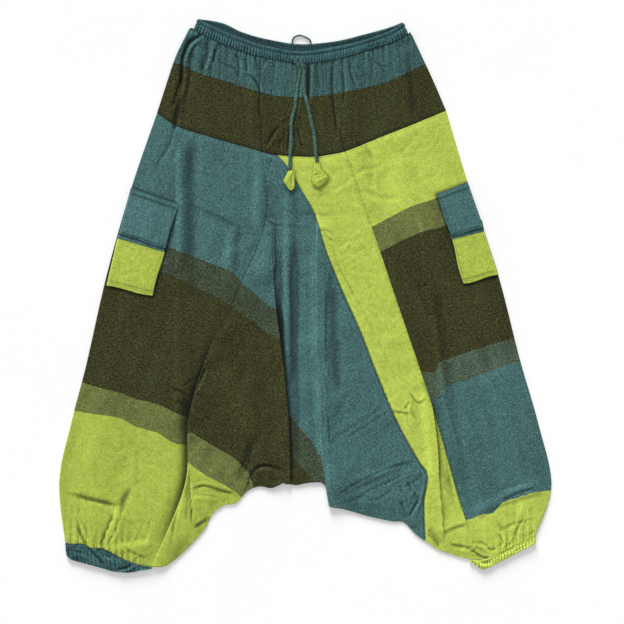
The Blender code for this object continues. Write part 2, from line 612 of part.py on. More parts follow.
# ------------------------------------------------------------------------------ the yoke
def make_yoke(collection):
    """Front yoke and both side yokes, gathered along the waistband."""
    section = YOKE_SECTIONS * np.linspace(0, 1, YOKE_ROWS + 1) ** YOKE_ROW_SPACING
    height = SIDE_HEIGHT + WAIST_LIFT * smooth((WAIST_LIFT_SECTION - section) / 2)
    half = SEAM_GAP / 2
    edges = [(YOKE_RIGHT_CORNER + band + YOKE_LEFT_CORNER, YOKE_SEAM)
             for band in (BAND_FRONT_BOTTOM, BAND_BACK_BOTTOM)]
    for side, sign, table in (("right", -1, YOKE_RIGHT), ("left", 1, YOKE_LEFT)):
        column = {name: spline(points, section) for name, points in table.items()}
        back = spline(YOKE_BACK_SEAMS[side], section / YOKE_SECTIONS)
        grid = wrapped_side(column["side_fold"], column["shaded_fold"], column["seam"], back,
                            height, YOKE_COLUMNS, sign, *edges)
        grid = trimmed(grid, left=half, right=half, top=BAND_GAP, bottom=half)
        add_sheet(f"yoke_side_{side}", grid, "striped_cotton", collection)
    right = spline(YOKE_RIGHT["seam"], section)
    left = spline(YOKE_LEFT["seam"], section)
    grid = between_columns([right, left], YOKE_COLUMNS)
    grid = fit_edges(grid, BAND_FRONT_BOTTOM, YOKE_SEAM)
    grid = np.dstack([grid, front_height(grid[..., 0], grid[..., 1]) - CLOTH / 2])
    grid = trimmed(grid, left=half, right=half, top=BAND_GAP, bottom=half)
    add_sheet("yoke_front", grid, "striped_cotton", collection)


def add_flat(name, outline, slot, collection):
    """A flat back piece on the surface: a filled outline of the cloth's thickness."""
    curve = bpy.data.curves.new(name, "CURVE")
    curve.dimensions = "2D"
    curve.fill_mode = "BOTH"
    curve.extrude = CLOTH / 2 * MM
    line = curve.splines.new("POLY")
    line.points.add(len(outline) - 1)
    for point, (x, y) in zip(line.points, outline):
        point.co = (x * MM, y * MM, 0.0, 1.0)
    line.use_cyclic_u = True
    item = add_object(name, curve, slot, collection)
    item.location.z = CLOTH / 2 * MM


def samples(points, count):
    """Evenly numbered points along the curve through a table."""
    return spline(points, np.linspace(0, len(points) - 1, count))


def edge_between(first_x, last_x, points, shift):
    """Points along an edge curve, ends included, moved by shift in y."""
    x = np.linspace(first_x, last_x, EDGE_POINTS)
    return np.column_stack([x, height_on(points, x) + shift])


def make_back(collection):
    """Back centre panel and back yoke, flat on the surface."""
    half = SEAM_GAP / 2
    right = samples(RIGHT_SIDE["back_seam"], SEAM_POINTS) + (half, 0)
    left = samples(LEFT_SIDE["back_seam"], SEAM_POINTS) - (half, 0)
    top = edge_between(left[0, 0], right[0, 0], YOKE_SEAM, -half)
    hem = np.array(HEM_RIGHT[1:] + HEM_STRIP[1:] + HEM_STEP + HEM_LEFT[:-1], float)
    outline = np.concatenate([right[1:], hem, left[:0:-1], top])
    add_flat("centre_panel_back", outline, "striped_cotton", collection)

    right = YOKE_BACK_SEAMS["right"]
    left = YOKE_BACK_SEAMS["left"]
    low = edge_between(right[-1][0] + half, left[-1][0] - half, YOKE_SEAM, half)
    high = edge_between(left[0][0] - half, right[0][0] + half, BAND_BACK_BOTTOM, -BAND_GAP)
    add_flat("yoke_back", np.concatenate([low, high]), "striped_cotton", collection)


# ------------------------------------------------------------------- waistband and cuffs
def add_casing(name, edges, height, wall, ribs, profile, slot, collection):
    """A flattened ring of gathered casing, lofted from its profile round front and back.

    edges holds the front's top and bottom curves and the back's. Each rib is one high
    and one low section. The underside is flat where it rests.
    """
    turn = (height - wall) / 2
    end = turn + wall / 2
    share = np.linspace(0, 1, 2 * ribs + 1)
    angles = np.linspace(math.pi / 2, -math.pi / 2, TURN_STEPS + 1)[1:-1]
    rings = []      # edges, place along them, sideways and upward direction, rib
    for curves, lift, side, along in ((edges[:2], 1, 1, share), (edges[2:], -1, -1, share[::-1])):
        rings += [(curves, place, 0.0, lift, 1 - 2 * (index % 2)) for index, place in enumerate(along)]
        rings += [(curves, along[-1], side * math.cos(angle), lift * math.sin(angle), 0)
                  for angle in angles]
    points = []
    for (top, bottom), place, swing, lift, rib in rings:
        upper = ends_in(top, place, end)
        lower = ends_in(bottom, place, end)
        for share_up, offset in profile:
            ribbed = rib * RIB_DEPTH * math.copysign(abs(offset) > LEAST_RIBBED_OFFSET, offset)
            reach = offset * wall + ribbed
            if lift == -1 and offset > 0:
                reach = wall / 2
            if lift == 1 and offset < 0:
                reach = offset * wall
            x, y = lower + (upper - lower) * share_up
            z = height / 2 + lift * (turn + reach)
            points.append((x + swing * (turn + reach), y, max(z, 0.0)))
    count = len(profile)
    faces = []
    for i in range(len(rings)):
        here, following = i * count, (i + 1) % len(rings) * count
        for j in range(count):
            k = (j + 1) % count
            faces.append((here + j, following + j, following + k, here + k))
    mesh = bpy.data.meshes.new(name)
    mesh.from_pydata((np.array(points) * MM).tolist(), [], faces)
    mesh.shade_smooth()
    add_object(name, mesh, slot, collection)


def ends_in(points, along, inset):
    """Point at a share of an edge curve whose ends are drawn in by inset."""
    place = along * (len(points) - 1)
    x, y = spline(points, place)
    first, last = points[0][0], points[-1][0]
    x = first + inset + (x - first) * (last - first - 2 * inset) / (last - first)
    return np.array([x, y])


def make_casings(collection):
    """The waistband and the two ankle cuffs."""
    band = (BAND_FRONT_TOP, BAND_FRONT_BOTTOM, BAND_BACK_TOP, BAND_BACK_BOTTOM)
    add_casing("waistband", band, BAND_HEIGHT, BAND_WALL, BAND_RIBS, BAND_PROFILE,
               "teal_cotton", collection)
    for side, top, bottom, slot in (("right", CUFF_RIGHT_TOP, CUFF_RIGHT_BOTTOM, "teal_cotton"),
                                    ("left", CUFF_LEFT_TOP, CUFF_LEFT_BOTTOM, "lime_cotton")):
        top = [(x, y - BAND_GAP) for x, y in top]
        add_casing(f"cuff_{side}", (top, bottom, top, bottom), CUFF_HEIGHT, CUFF_WALL, CUFF_RIBS,
                   CUFF_PROFILE, slot, collection)


# ------------------------------------------------------------------------------- pockets
def make_pockets(collection):
    """Bag, binding and flap of each pocket, made from the side panel's points, moved out."""
    lifts = {"bag": LAYER_GAP, "welt": LAYER_GAP, "flap": 2 * LAYER_GAP + CLOTH}
    for side, pieces in POCKETS.items():
        inset = np.array([-POCKET_SIDE_INSET if side == "right" else POCKET_SIDE_INSET, 0])
        for piece, corners in pieces.items():
            top_outer, top_inner, low_inner, low_outer = np.array(corners, float)
            down, across = POCKET_STEPS[piece]
            v = np.linspace(0, 1, down + 1)[:, None, None]
            u = np.linspace(0, 1, across + 1)[None, :, None]
            outer = (top_outer - inset) * (1 - v) + (low_outer - inset) * v
            inner = top_inner * (1 - v) + low_inner * v
            flat = outer * (1 - u) + inner * u
            z = front_height(flat[..., 0], flat[..., 1]) + lifts[piece] + CLOTH / 2
            grid = trimmed(np.dstack([flat, z]), top=SEAM_GAP / 2, bottom=SEAM_GAP / 2)
            add_sheet(f"pocket_{piece}_{side}", grid, POCKET_SLOTS[piece], collection)


# ---------------------------------------------------------------------------- drawstring
def add_cord(name, points, radius, slot, collection):
    """A round cord along a smooth route, with closed ends."""
    curve = bpy.data.curves.new(name, "CURVE")
    curve.dimensions = "3D"
    curve.bevel_depth = radius * MM
    curve.bevel_resolution = 2
    curve.use_fill_caps = True
    line = curve.splines.new("POLY")
    line.points.add(len(points) - 1)
    for point, place in zip(line.points, points):
        point.co = (*(value * MM for value in place), 1.0)
    add_object(name, curve, slot, collection)


def make_drawstring(collection):
    """The drawstring's two free ends with their folded cloth tips."""
    band_face = BAND_HEIGHT + BAND_FACE_UNDER_CORD * BAND_WALL + RIB_DEPTH
    for side, route in CORD_ROUTES.items():
        flat = np.array(route, float)
        rise = front_height(flat[:, 0], flat[:, 1])
        over_edge = flat[:, 1] - height_on(BAND_FRONT_BOTTOM, flat[:, 0])
        on_band = smooth(over_edge / CORD_RAMP + 1)
        rise = np.maximum(rise, band_face * on_band + LAYER_GAP)
        points = np.column_stack([flat, rise + CORD_CLEARANCE + CORD_RADIUS])
        add_cord(f"drawstring_{side}", points, CORD_RADIUS, "cord_cotton", collection)
        make_tip(f"drawstring_tip_{side}", TIPS[side], collection)


def make_tip(name, outline, collection):
    """A folded scrap of cloth sewn over the cord's end: its outline, domed on both faces."""
    outline = np.array(outline, float)
    centre = outline.mean(axis=0)
    floor = front_height(outline[:, 0], outline[:, 1]).max() + LAYER_GAP
    rings = []
    for scale, level in TIP_RINGS:
        ring = centre + (outline - centre) * scale
        rings.append(np.column_stack([ring, np.full(len(ring), floor + level * TIP_HALF_HEIGHT)]))
    count = len(outline)
    faces = [tuple(range(count))]
    for r in range(len(rings) - 1):
        here, above = r * count, (r + 1) * count
        for i in range(count):
            k = (i + 1) % count
            faces.append((here + k, here + i, above + i, above + k))
    faces.append(tuple(above + i for i in reversed(range(count))))
    mesh = bpy.data.meshes.new(name)
    mesh.from_pydata((np.concatenate(rings) * MM).tolist(), [], faces)
    work = bmesh.new()
    work.from_mesh(mesh)
    bmesh.ops.recalc_face_normals(work, faces=work.faces)
    work.to_mesh(mesh)
    work.free()
    add_object(name, mesh, "lime_cotton", collection)


def make_loop(collection):
    """Hanging loop that stands up behind the back of the waistband."""
    points = [[x, y, LAYER_GAP + LOOP_RADIUS] for x, y in LOOP_ROUTE]
    for foot in (points[0], points[-1]):
        top, bottom = height_on(BAND_BACK_TOP, foot[0]), height_on(BAND_BACK_BOTTOM, foot[0])
        foot[1] = bottom + (top - bottom) * BAND_TOP_SHARE + LAYER_GAP
    add_cord("hang_loop", points, LOOP_RADIUS, "teal_cotton", collection)


def main():
    """Build every piece of the garment."""
    for item in list(bpy.data.objects):
        bpy.data.objects.remove(item, do_unlink=True)
    collection = bpy.data.collections.new("harem_pants")
    bpy.context.scene.collection.children.link(collection)
    make_casings(collection)
    make_yoke(collection)
    make_side_panels(collection)
    make_centre_front(collection)
    make_back(collection)
    make_pockets(collection)
    make_drawstring(collection)
    make_loop(collection)


main()
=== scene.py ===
"""Harem pants sewn from handloom cotton, laid flat on their back: the dressed model.

Frame: +Y runs to the waist, +X to the wearer's left leg, +Z up from the surface that the
cloth lies on. Right and left are the wearer's. Tables are in millimetres, and a mesh's
points become metres when it is made.

Each piece of cloth is a grid of points on the middle of the cloth. Its rows are sections
across the leg and its columns run along it. The height of the front comes from one
function of x and y, so that every layer rises and sinks with the same creases.
"""
import logging
import math
from collections.abc import Callable
from dataclasses import dataclass, field
from enum import Enum

import bpy
import numpy as np
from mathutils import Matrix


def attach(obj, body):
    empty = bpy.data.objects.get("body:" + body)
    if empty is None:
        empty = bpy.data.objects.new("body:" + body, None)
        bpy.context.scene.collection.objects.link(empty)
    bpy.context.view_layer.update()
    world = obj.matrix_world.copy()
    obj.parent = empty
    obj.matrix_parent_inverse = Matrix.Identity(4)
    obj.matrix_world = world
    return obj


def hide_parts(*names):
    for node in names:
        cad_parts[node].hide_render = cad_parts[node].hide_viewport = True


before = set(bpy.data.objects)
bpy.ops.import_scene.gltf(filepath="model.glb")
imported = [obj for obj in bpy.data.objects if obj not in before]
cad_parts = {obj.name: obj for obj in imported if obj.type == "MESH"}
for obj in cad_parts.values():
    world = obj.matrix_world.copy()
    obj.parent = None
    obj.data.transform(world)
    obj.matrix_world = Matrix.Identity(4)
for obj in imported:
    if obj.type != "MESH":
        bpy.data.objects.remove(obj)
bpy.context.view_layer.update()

LOG = logging.getLogger("harem_pants")
Array = np.ndarray
Points = list[tuple[float, float]]
Rows = list[tuple[float, ...]]
Colour = tuple[float, float, float]
Socket = bpy.types.NodeSocket

# ---- sizes of the cloth (mm)
MM = 0.001
WALL = 0.9              # what the cloth measures
LAYER = 1.2             # room that each layer of cloth takes in the folds
HALF_GAP = 0.06         # half the gap between two pieces that are sewn together
BAND_GAP = 0.3          # between a gathered edge and its casing
LAYER_GAP = 0.3
FOLD_RADIUS = 0.95      # middle of the cloth, where a fold turns back on itself
LEAST_LEG = 0.8         # length of a fold's middle leg where the fold is still open
LOW_LAYER = 2.4         # middle of the lowest front layer where folds lie on it
SIDE_HEIGHT = 3.4       # of the two layers together where a leg's side folds
HEM_HEIGHT = 2.7        # of the two layers together along the inner leg seam
ANKLE_LIFT = 1.4
WAIST_LIFT = 4.2
WAIST_LIFT_FROM = 300.0
WAIST_LIFT_LENGTH = 120.0
WAIST_LIFT_SECTION = 2.6
EDGE_SOFTNESS = 28.0    # how far in from an edge the cloth reaches its full height
LEAST_HEIGHT = 2.35     # of the front's outer face, where it lies on the back
SECTIONS = 6.0
YOKE_SECTIONS = 3.0
TOP_FIT = 0.25          # share of a panel's rows that follow the shape of its top edge
HEM_FIT = 1 / 6         # and of its bottom edge
BAND_FACE = 6.4 + 0.1 * 2.6 + 0.45      # height of the waistband where the drawstring crosses it
CORD_RADIUS = 2.1
CORD_CLEARANCE = 0.4
CORD_RAMP = 8.0
LOOP_RADIUS = 1.5
TIP_HALF_HEIGHT = 2.4
WARP_PITCH = 0.0011     # metres from thread to thread
WEFT_PITCH = 0.0012
BAND_COUNT = 8.0        # band numbers over the whole of a colour ramp
CREASE_BLURS = ((2.0, 2), (0.30, 30))   # share in the painted shade of a crease, and times blurred
DEPTH_LIMITS = (-0.9, 1.6)
SEAM_SHADE_WIDTH = 1.3
LATTICE = 128           # corners along a side of a lattice of random heights
LATTICE_START = (4096.37, 4096.71)


def xy(*numbers: float) -> Points:
    """Points (x, y) from numbers in pairs."""
    return list(zip(numbers[::2], numbers[1::2]))


# ---- sections of the leg panels (x, y)
RIGHT_SIDE = {
    "side_fold": xy(-259, 320, -305, 186, -347, 37, -383, -121, -408, -217, -430, -322, -420, -429),
    "pressed_crease": xy(-222, 296, -222, 163, -224, 28, -224, -130, -229, -226, -254, -331, -301, -466),
    "front_seam": xy(-75, 252, -67, 142, -112, 23, -175, -116, -203, -217, -210, -331, -268, -473),
    "back_seam": xy(-75, 252, -86, 140, -116, 20, -155, -115, -183, -220, -214, -330, -268, -473),
}
LEFT_SIDE = {
    "side_fold": xy(247, 324, 285, 198, 338, 37, 375, -107, 408, -222, 431, -331, 403, -419),
    "pressed_crease": xy(187, 299, 198, 159, 210, 11, 238, -116, 257, -226, 315, -347, 354, -441),
    "front_seam": xy(70, 252, 116, 123, 159, -4, 201, -126, 233, -226, 270, -357, 306, -460),
    "back_seam": xy(75, 252, 112, 123, 150, -4, 190, -126, 224, -226, 262, -350, 306, -460),
}
CENTRE = {
    "right_seam": RIGHT_SIDE["front_seam"],
    "right_inner": xy(-66, 250, -61, 138, -96, 19, -154, -121, -179, -226, -184, -331, -173, -404),
    "right_thigh": xy(-60, 249, -58, 137, -75, 19, -103, -121, -119, -217, -117, -296, -109, -350),
    "pleat_edge": xy(-48, 247, -48, 133, -54, 19, -39, -112, -30, -200, -26, -278, -26, -329),
    "ridge_edge": xy(12, 243, 18, 130, 19, 11, 19, -112, 23, -191, 30, -287, 42, -368),
    "left_thigh": xy(28, 245, 44, 130, 63, 7, 82, -117, 100, -214, 123, -313, 173, -396),
    "left_inner": xy(44, 247, 72, 130, 110, 0, 149, -124, 177, -226, 203, -336, 219, -434),
    "left_seam": LEFT_SIDE["front_seam"],
}
YOKE_RIGHT = {
    "side_fold": xy(-203, 466, -225, 422, -241, 376, -259, 320),
    "shaded_fold": xy(-191, 449, -205, 402, -215, 348, -222, 296),
    "seam": xy(-79, 417, -79, 366, -78, 309, -75, 252),
}
YOKE_LEFT = {
    "side_fold": xy(187, 457, 207, 414, 227, 371, 247, 324),
    "shaded_fold": xy(170, 450, 177, 402, 184, 350, 187, 299),
    "seam": xy(49, 412, 49, 361, 53, 310, 70, 252),
}
YOKE_RIGHT_CORNER = xy(-203, 466, -198, 468.5, -192.5, 466)
YOKE_LEFT_CORNER = xy(182.5, 461, 187, 458)
YOKE_BACK_SEAMS = {"right": xy(-79, 424, -75, 252), "left": xy(56, 422, 75, 252)}

# ---- edges that pieces share (x, y)
BAND_FRONT_TOP = xy(-188, 485, -149, 466, -114, 452, -70, 438, -9, 428, 53, 436, 105, 448, 149, 464, 173, 480)
BAND_FRONT_BOTTOM = xy(-195, 466, -184, 459.5, -156, 445.5, -117, 429.5, -74, 417, -9, 406, 54, 413, 110, 429,
    154, 443, 181, 459)
BAND_BACK_TOP = xy(-188, 485, -145, 478, -110, 462, -68, 450, -9, 441, 53, 446, 100, 457, 144, 469, 173, 480)
BAND_BACK_BOTTOM = xy(-195, 466, -145, 449, -110, 436, -68, 425, -9, 416, 53, 421, 100, 432, 144, 445, 181, 459)
YOKE_SEAM = xy(-259, 320, -222, 296, -166, 278, -114, 263, -75, 252, -49, 247, 9, 243, 44, 247, 74, 254, 131, 277,
    187, 299, 247, 324)
HEM_RIGHT = xy(-268, -473, -247, -473, -226, -460, -205, -441, -184, -418, -173, -404, -163, -383, -142, -366,
    -121, -362, -100, -341, -79, -333, -58, -336, -37, -327, -26, -329)
HEM_STRIP = xy(-26, -329, -16, -331, 5, -327, 26, -326, 35, -329)
HEM_LEFT = xy(42, -368, 68, -373, 110, -385, 152, -394, 173, -396, 194, -417, 215, -432, 236, -445, 257, -452,
    274, -457, 290, -460, 306, -461)
CUFF_RIGHT_TOP = xy(-420, -429, -411, -434, -394, -433, -384, -435, -373, -441, -357, -441, -342, -447, -320, -459,
    -298, -468, -268, -475)
CUFF_RIGHT_BOTTOM = xy(-417, -452, -410, -460, -399, -464, -380, -469, -355, -476, -338, -481, -320, -483,
    -308, -484, -287, -480, -268, -477)
CUFF_LEFT_TOP = xy(288, -460, 296, -461, 306, -461, 315, -460, 327, -456, 341, -449, 373, -434, 403, -418)
CUFF_LEFT_BOTTOM = xy(288, -464, 295, -468, 303, -474, 311, -478, 319, -476, 341, -465, 371, -449, 396, -436,
    404, -429)

# ---- where the woven and sewn colours meet
RIGHT_LEG_BANDS = [
    xy(-340, 122, -243, 88, -224, 80, -201, 72, -175, 61, -149, 52, -128, 42, -112, 26),
    xy(-350, 78, -248, 42, -224, 33, -201, 21, -178, 10, -158, 2, -128, -16),
    xy(-390, -152, -359, -161, -324, -170, -298, -180, -271, -186, -248, -194, -224, -206, -205, -212),
    xy(-402, -201, -373, -206, -341, -210, -320, -215, -301, -226, -280, -233, -257, -240, -229, -257, -203, -261),
]
THIGH_BANDS = [
    xy(-112, 23, -96, 12, -84, 2, -75, -9, -65, -16, -52, -21),
    xy(-131, -14, -94, -42, -80, -54, -44, -75),
    xy(-198, -240, -175, -254, -149, -270, -128, -282, -105, -302, -96, -318, -89, -345, -82, -420),
    xy(-203, -292, -175, -313, -158, -322, -136, -334, -114, -350, -104, -368, -96, -440),
]
STRIP_BANDS = [
    xy(-28, -208, -9, -229, 9, -252, 23, -273, 30, -287),
    xy(-28, -276, -9, -297, 9, -318, 30, -345),
]
LEFT_LEG_BANDS = [
    xy(117, 121, 149, 138, 184, 156, 231, 172, 320, 208),
    xy(130, 77, 166, 96, 201, 112, 245, 124, 330, 152),
    xy(205, -133, 229, -133, 236, -117, 262, -107, 315, -89, 380, -70),
    xy(220, -180, 238, -178, 245, -159, 289, -144, 341, -124, 390, -110),
    xy(285, -392, 298, -387, 313, -382, 327, -381, 336, -373, 346, -362, 359, -357, 376, -352, 394, -346, 408, -343,
       430, -341),
]
YOKE_BAND = xy(-250, 412, -210, 402, -192, 392, -149, 378, -96, 362, -52, 350, 9, 348, 61, 355, 105, 364, 144, 374,
    175, 388, 225, 412)
DIAGONAL_SEAM = xy(-49, 248, -26, 220, -4, 182, 18, 142, 37, 79, 65, 10, 96, -60, 130, -147, 163, -224, 198, -287,
    214, -315, 208, -357, 210, -425)
CROTCH_SEAM = xy(-108, -354, -101, -336, -96, -319, -86, -303, -74, -296, -52, -299, -38, -304, -26, -312)

# Pockets: corners (x, y) in the order top outer, top inner, bottom inner, bottom outer.
POCKETS = {
    "right": {"flap": xy(-304, 189, -222, 161, -243, 83, -325, 109),
              "welt": xy(-322, 122, -240, 96, -246, 77, -328, 101),
              "bag": xy(-328, 101, -246, 77, -266, 0, -347, 18)},
    "left": {"flap": xy(284, 199, 229, 178, 256, 105, 312, 119), "welt": xy(309, 133, 252, 117, 256, 99, 313, 113),
              "bag": xy(313, 113, 256, 99, 277, 21, 338, 37)},
}
CORD_ROUTES = {
    "right": xy(-23, 418, -17, 410, -11, 402, -9, 391, -10, 381, -12, 369, -14, 355, -16, 342, -17, 330, -20, 319,
       -23, 307, -24, 294, -24, 281, -24, 268, -25, 255, -26, 242, -26, 229, -26, 222),
    "left": xy(-14, 417, -8, 410, -4, 402, -2, 390, -2, 376, -1, 363, 0, 352, 3, 340, 6, 328, 9, 315, 12, 301,
       15, 288, 17, 275, 18, 263, 19, 251, 20, 242, 21, 235),
}
TIPS = {
    "right": xy(-29, 219, -38, 201, -28.5, 187, -24, 183.5, -17.5, 188.5, -18, 203, -20, 219),
    "left": xy(16, 231, 15, 219, 12.5, 203, 15, 194, 24.5, 189.5, 39, 202, 40.5, 208, 30, 219, 24.5, 231),
}
# Folds of the tips: start and end of the line, half width, rise.
TIP_FOLDS = {
    "right": [(-20.5, 217, -25, 188, 1.1, -0.9), (-35.5, 200, -26.5, 187.5, 1.0, -0.8),
        (-33, 205, -23, 213, 1.4, 0.4), (-24, 215, -31, 200, 2.2, 0.5)],
    "left": [(16.5, 228, 24, 228, 0.8, -0.5), (15.5, 210, 27, 213.5, 1.3, -0.8), (22, 201, 34, 206, 3.4, 0.8),
        (14.5, 194.5, 19.5, 192.5, 1.5, -1.9), (16, 190.8, 22, 189.5, 0.8, 0.8), (18, 225, 17, 213, 1.2, 0.4)],
}
LOOP_ROUTE = xy(-22, 443, -22, 447, -19, 452, -14, 455, -8, 455.5, -2, 454, 4, 451, 9, 447, 11, 443)

# ---- height of the front cloth
# The loft of the two layers together at each y.
LOFT = xy(-480, 5.2, -400, 6.0, -300, 5.4, -100, 5.2, 100, 4.8, 250, 4.6, 320, 5.4, 380, 6.2, 440, 7.2, 500, 7.4)
# Broad folds: half width, rise (negative sinks), then the points (x, y) of the line.
BROAD_FOLDS: Rows = [
    (8, -2.6, -199, 442, -222, 300), (9, 1.7, -212, 436, -238, 340), (8, -1.4, 178, 440, 190, 310),
    (6, 1.6, -220, 262, -221, 40), (6, 0.6, -222, 40, -224, -225), (9, -1, -203, 265, -203, 60),
    (6, 0.7, 198, 159, 243, -180), (6, -0.35, -84, 104, -172, -110),
    (5, -0.35, 70, 252, 159, -4, 233, -226, 270, -350), (22, 1.2, -150, -110, -100, -250),
    (9, -1.2, -90, -245, -120, -330), (10, -0.7, -190, 150, -110, 120), (9, 0.7, -150, 60, -96, 100),
    (4.5, -0.4, 190, -290, 60, -350), (4.5, -0.3, 150, -335, 55, -366), (4.5, -0.35, 140, -190, 44, -254),
    (7, 0.9, 165, -300, 90, -318), (8, 0.8, 205, -160, 224, -330), (6, -0.4, 232, -420, 290, -396),
    (6, -1.1, 300, -388, 341, -366, 425, -342), (14, 1.6, 290, -380, 420, -326), (6, -1.3, -410, -346, -327, -366),
    (7, 1.5, -322, -362, -345, -436), (7, -1.2, -303, -330, -330, -380), (6, -1.1, -400, -392, -388, -436),
    (7, 1.2, -345, -442, -255, -430), (7, 1.2, 380, -360, 372, -395), (6, -1.1, 335, -395, 352, -415),
    (16, 0.8, 300, -160, 380, -100), (12, -0.9, -198, 282, -194, -7), (10, -0.8, -198, -77, -196, -182),
    (8, 1, -131, 124, -138, 10), (8, -0.6, -116, 130, -122, 28), (9, 1.2, -82, 256, -84, 107),
    (11, -1.1, -61, 212, -56, 19), (4.5, 2.3, -34, 189, -33, -144), (8, -1.5, -18, 186, -19, -304),
    (9, 2.0, 18, 116, 19, -130), (8, 1.6, 23, -130, 28, -301), (11, -0.8, 42, 60, 48, -160),
    (4, 1.1, 38, 49, 33, -9), (9, -1.2, 49, 18, 58, -168), (10, -0.8, 231, 10, 248, -130, 262, -234, 282, -343),
    (8, -0.9, 244, -300, 262, -360), (16, -0.5, 100, 273, 124, 124), (14, 0.4, 166, 256, 152, 98),
]
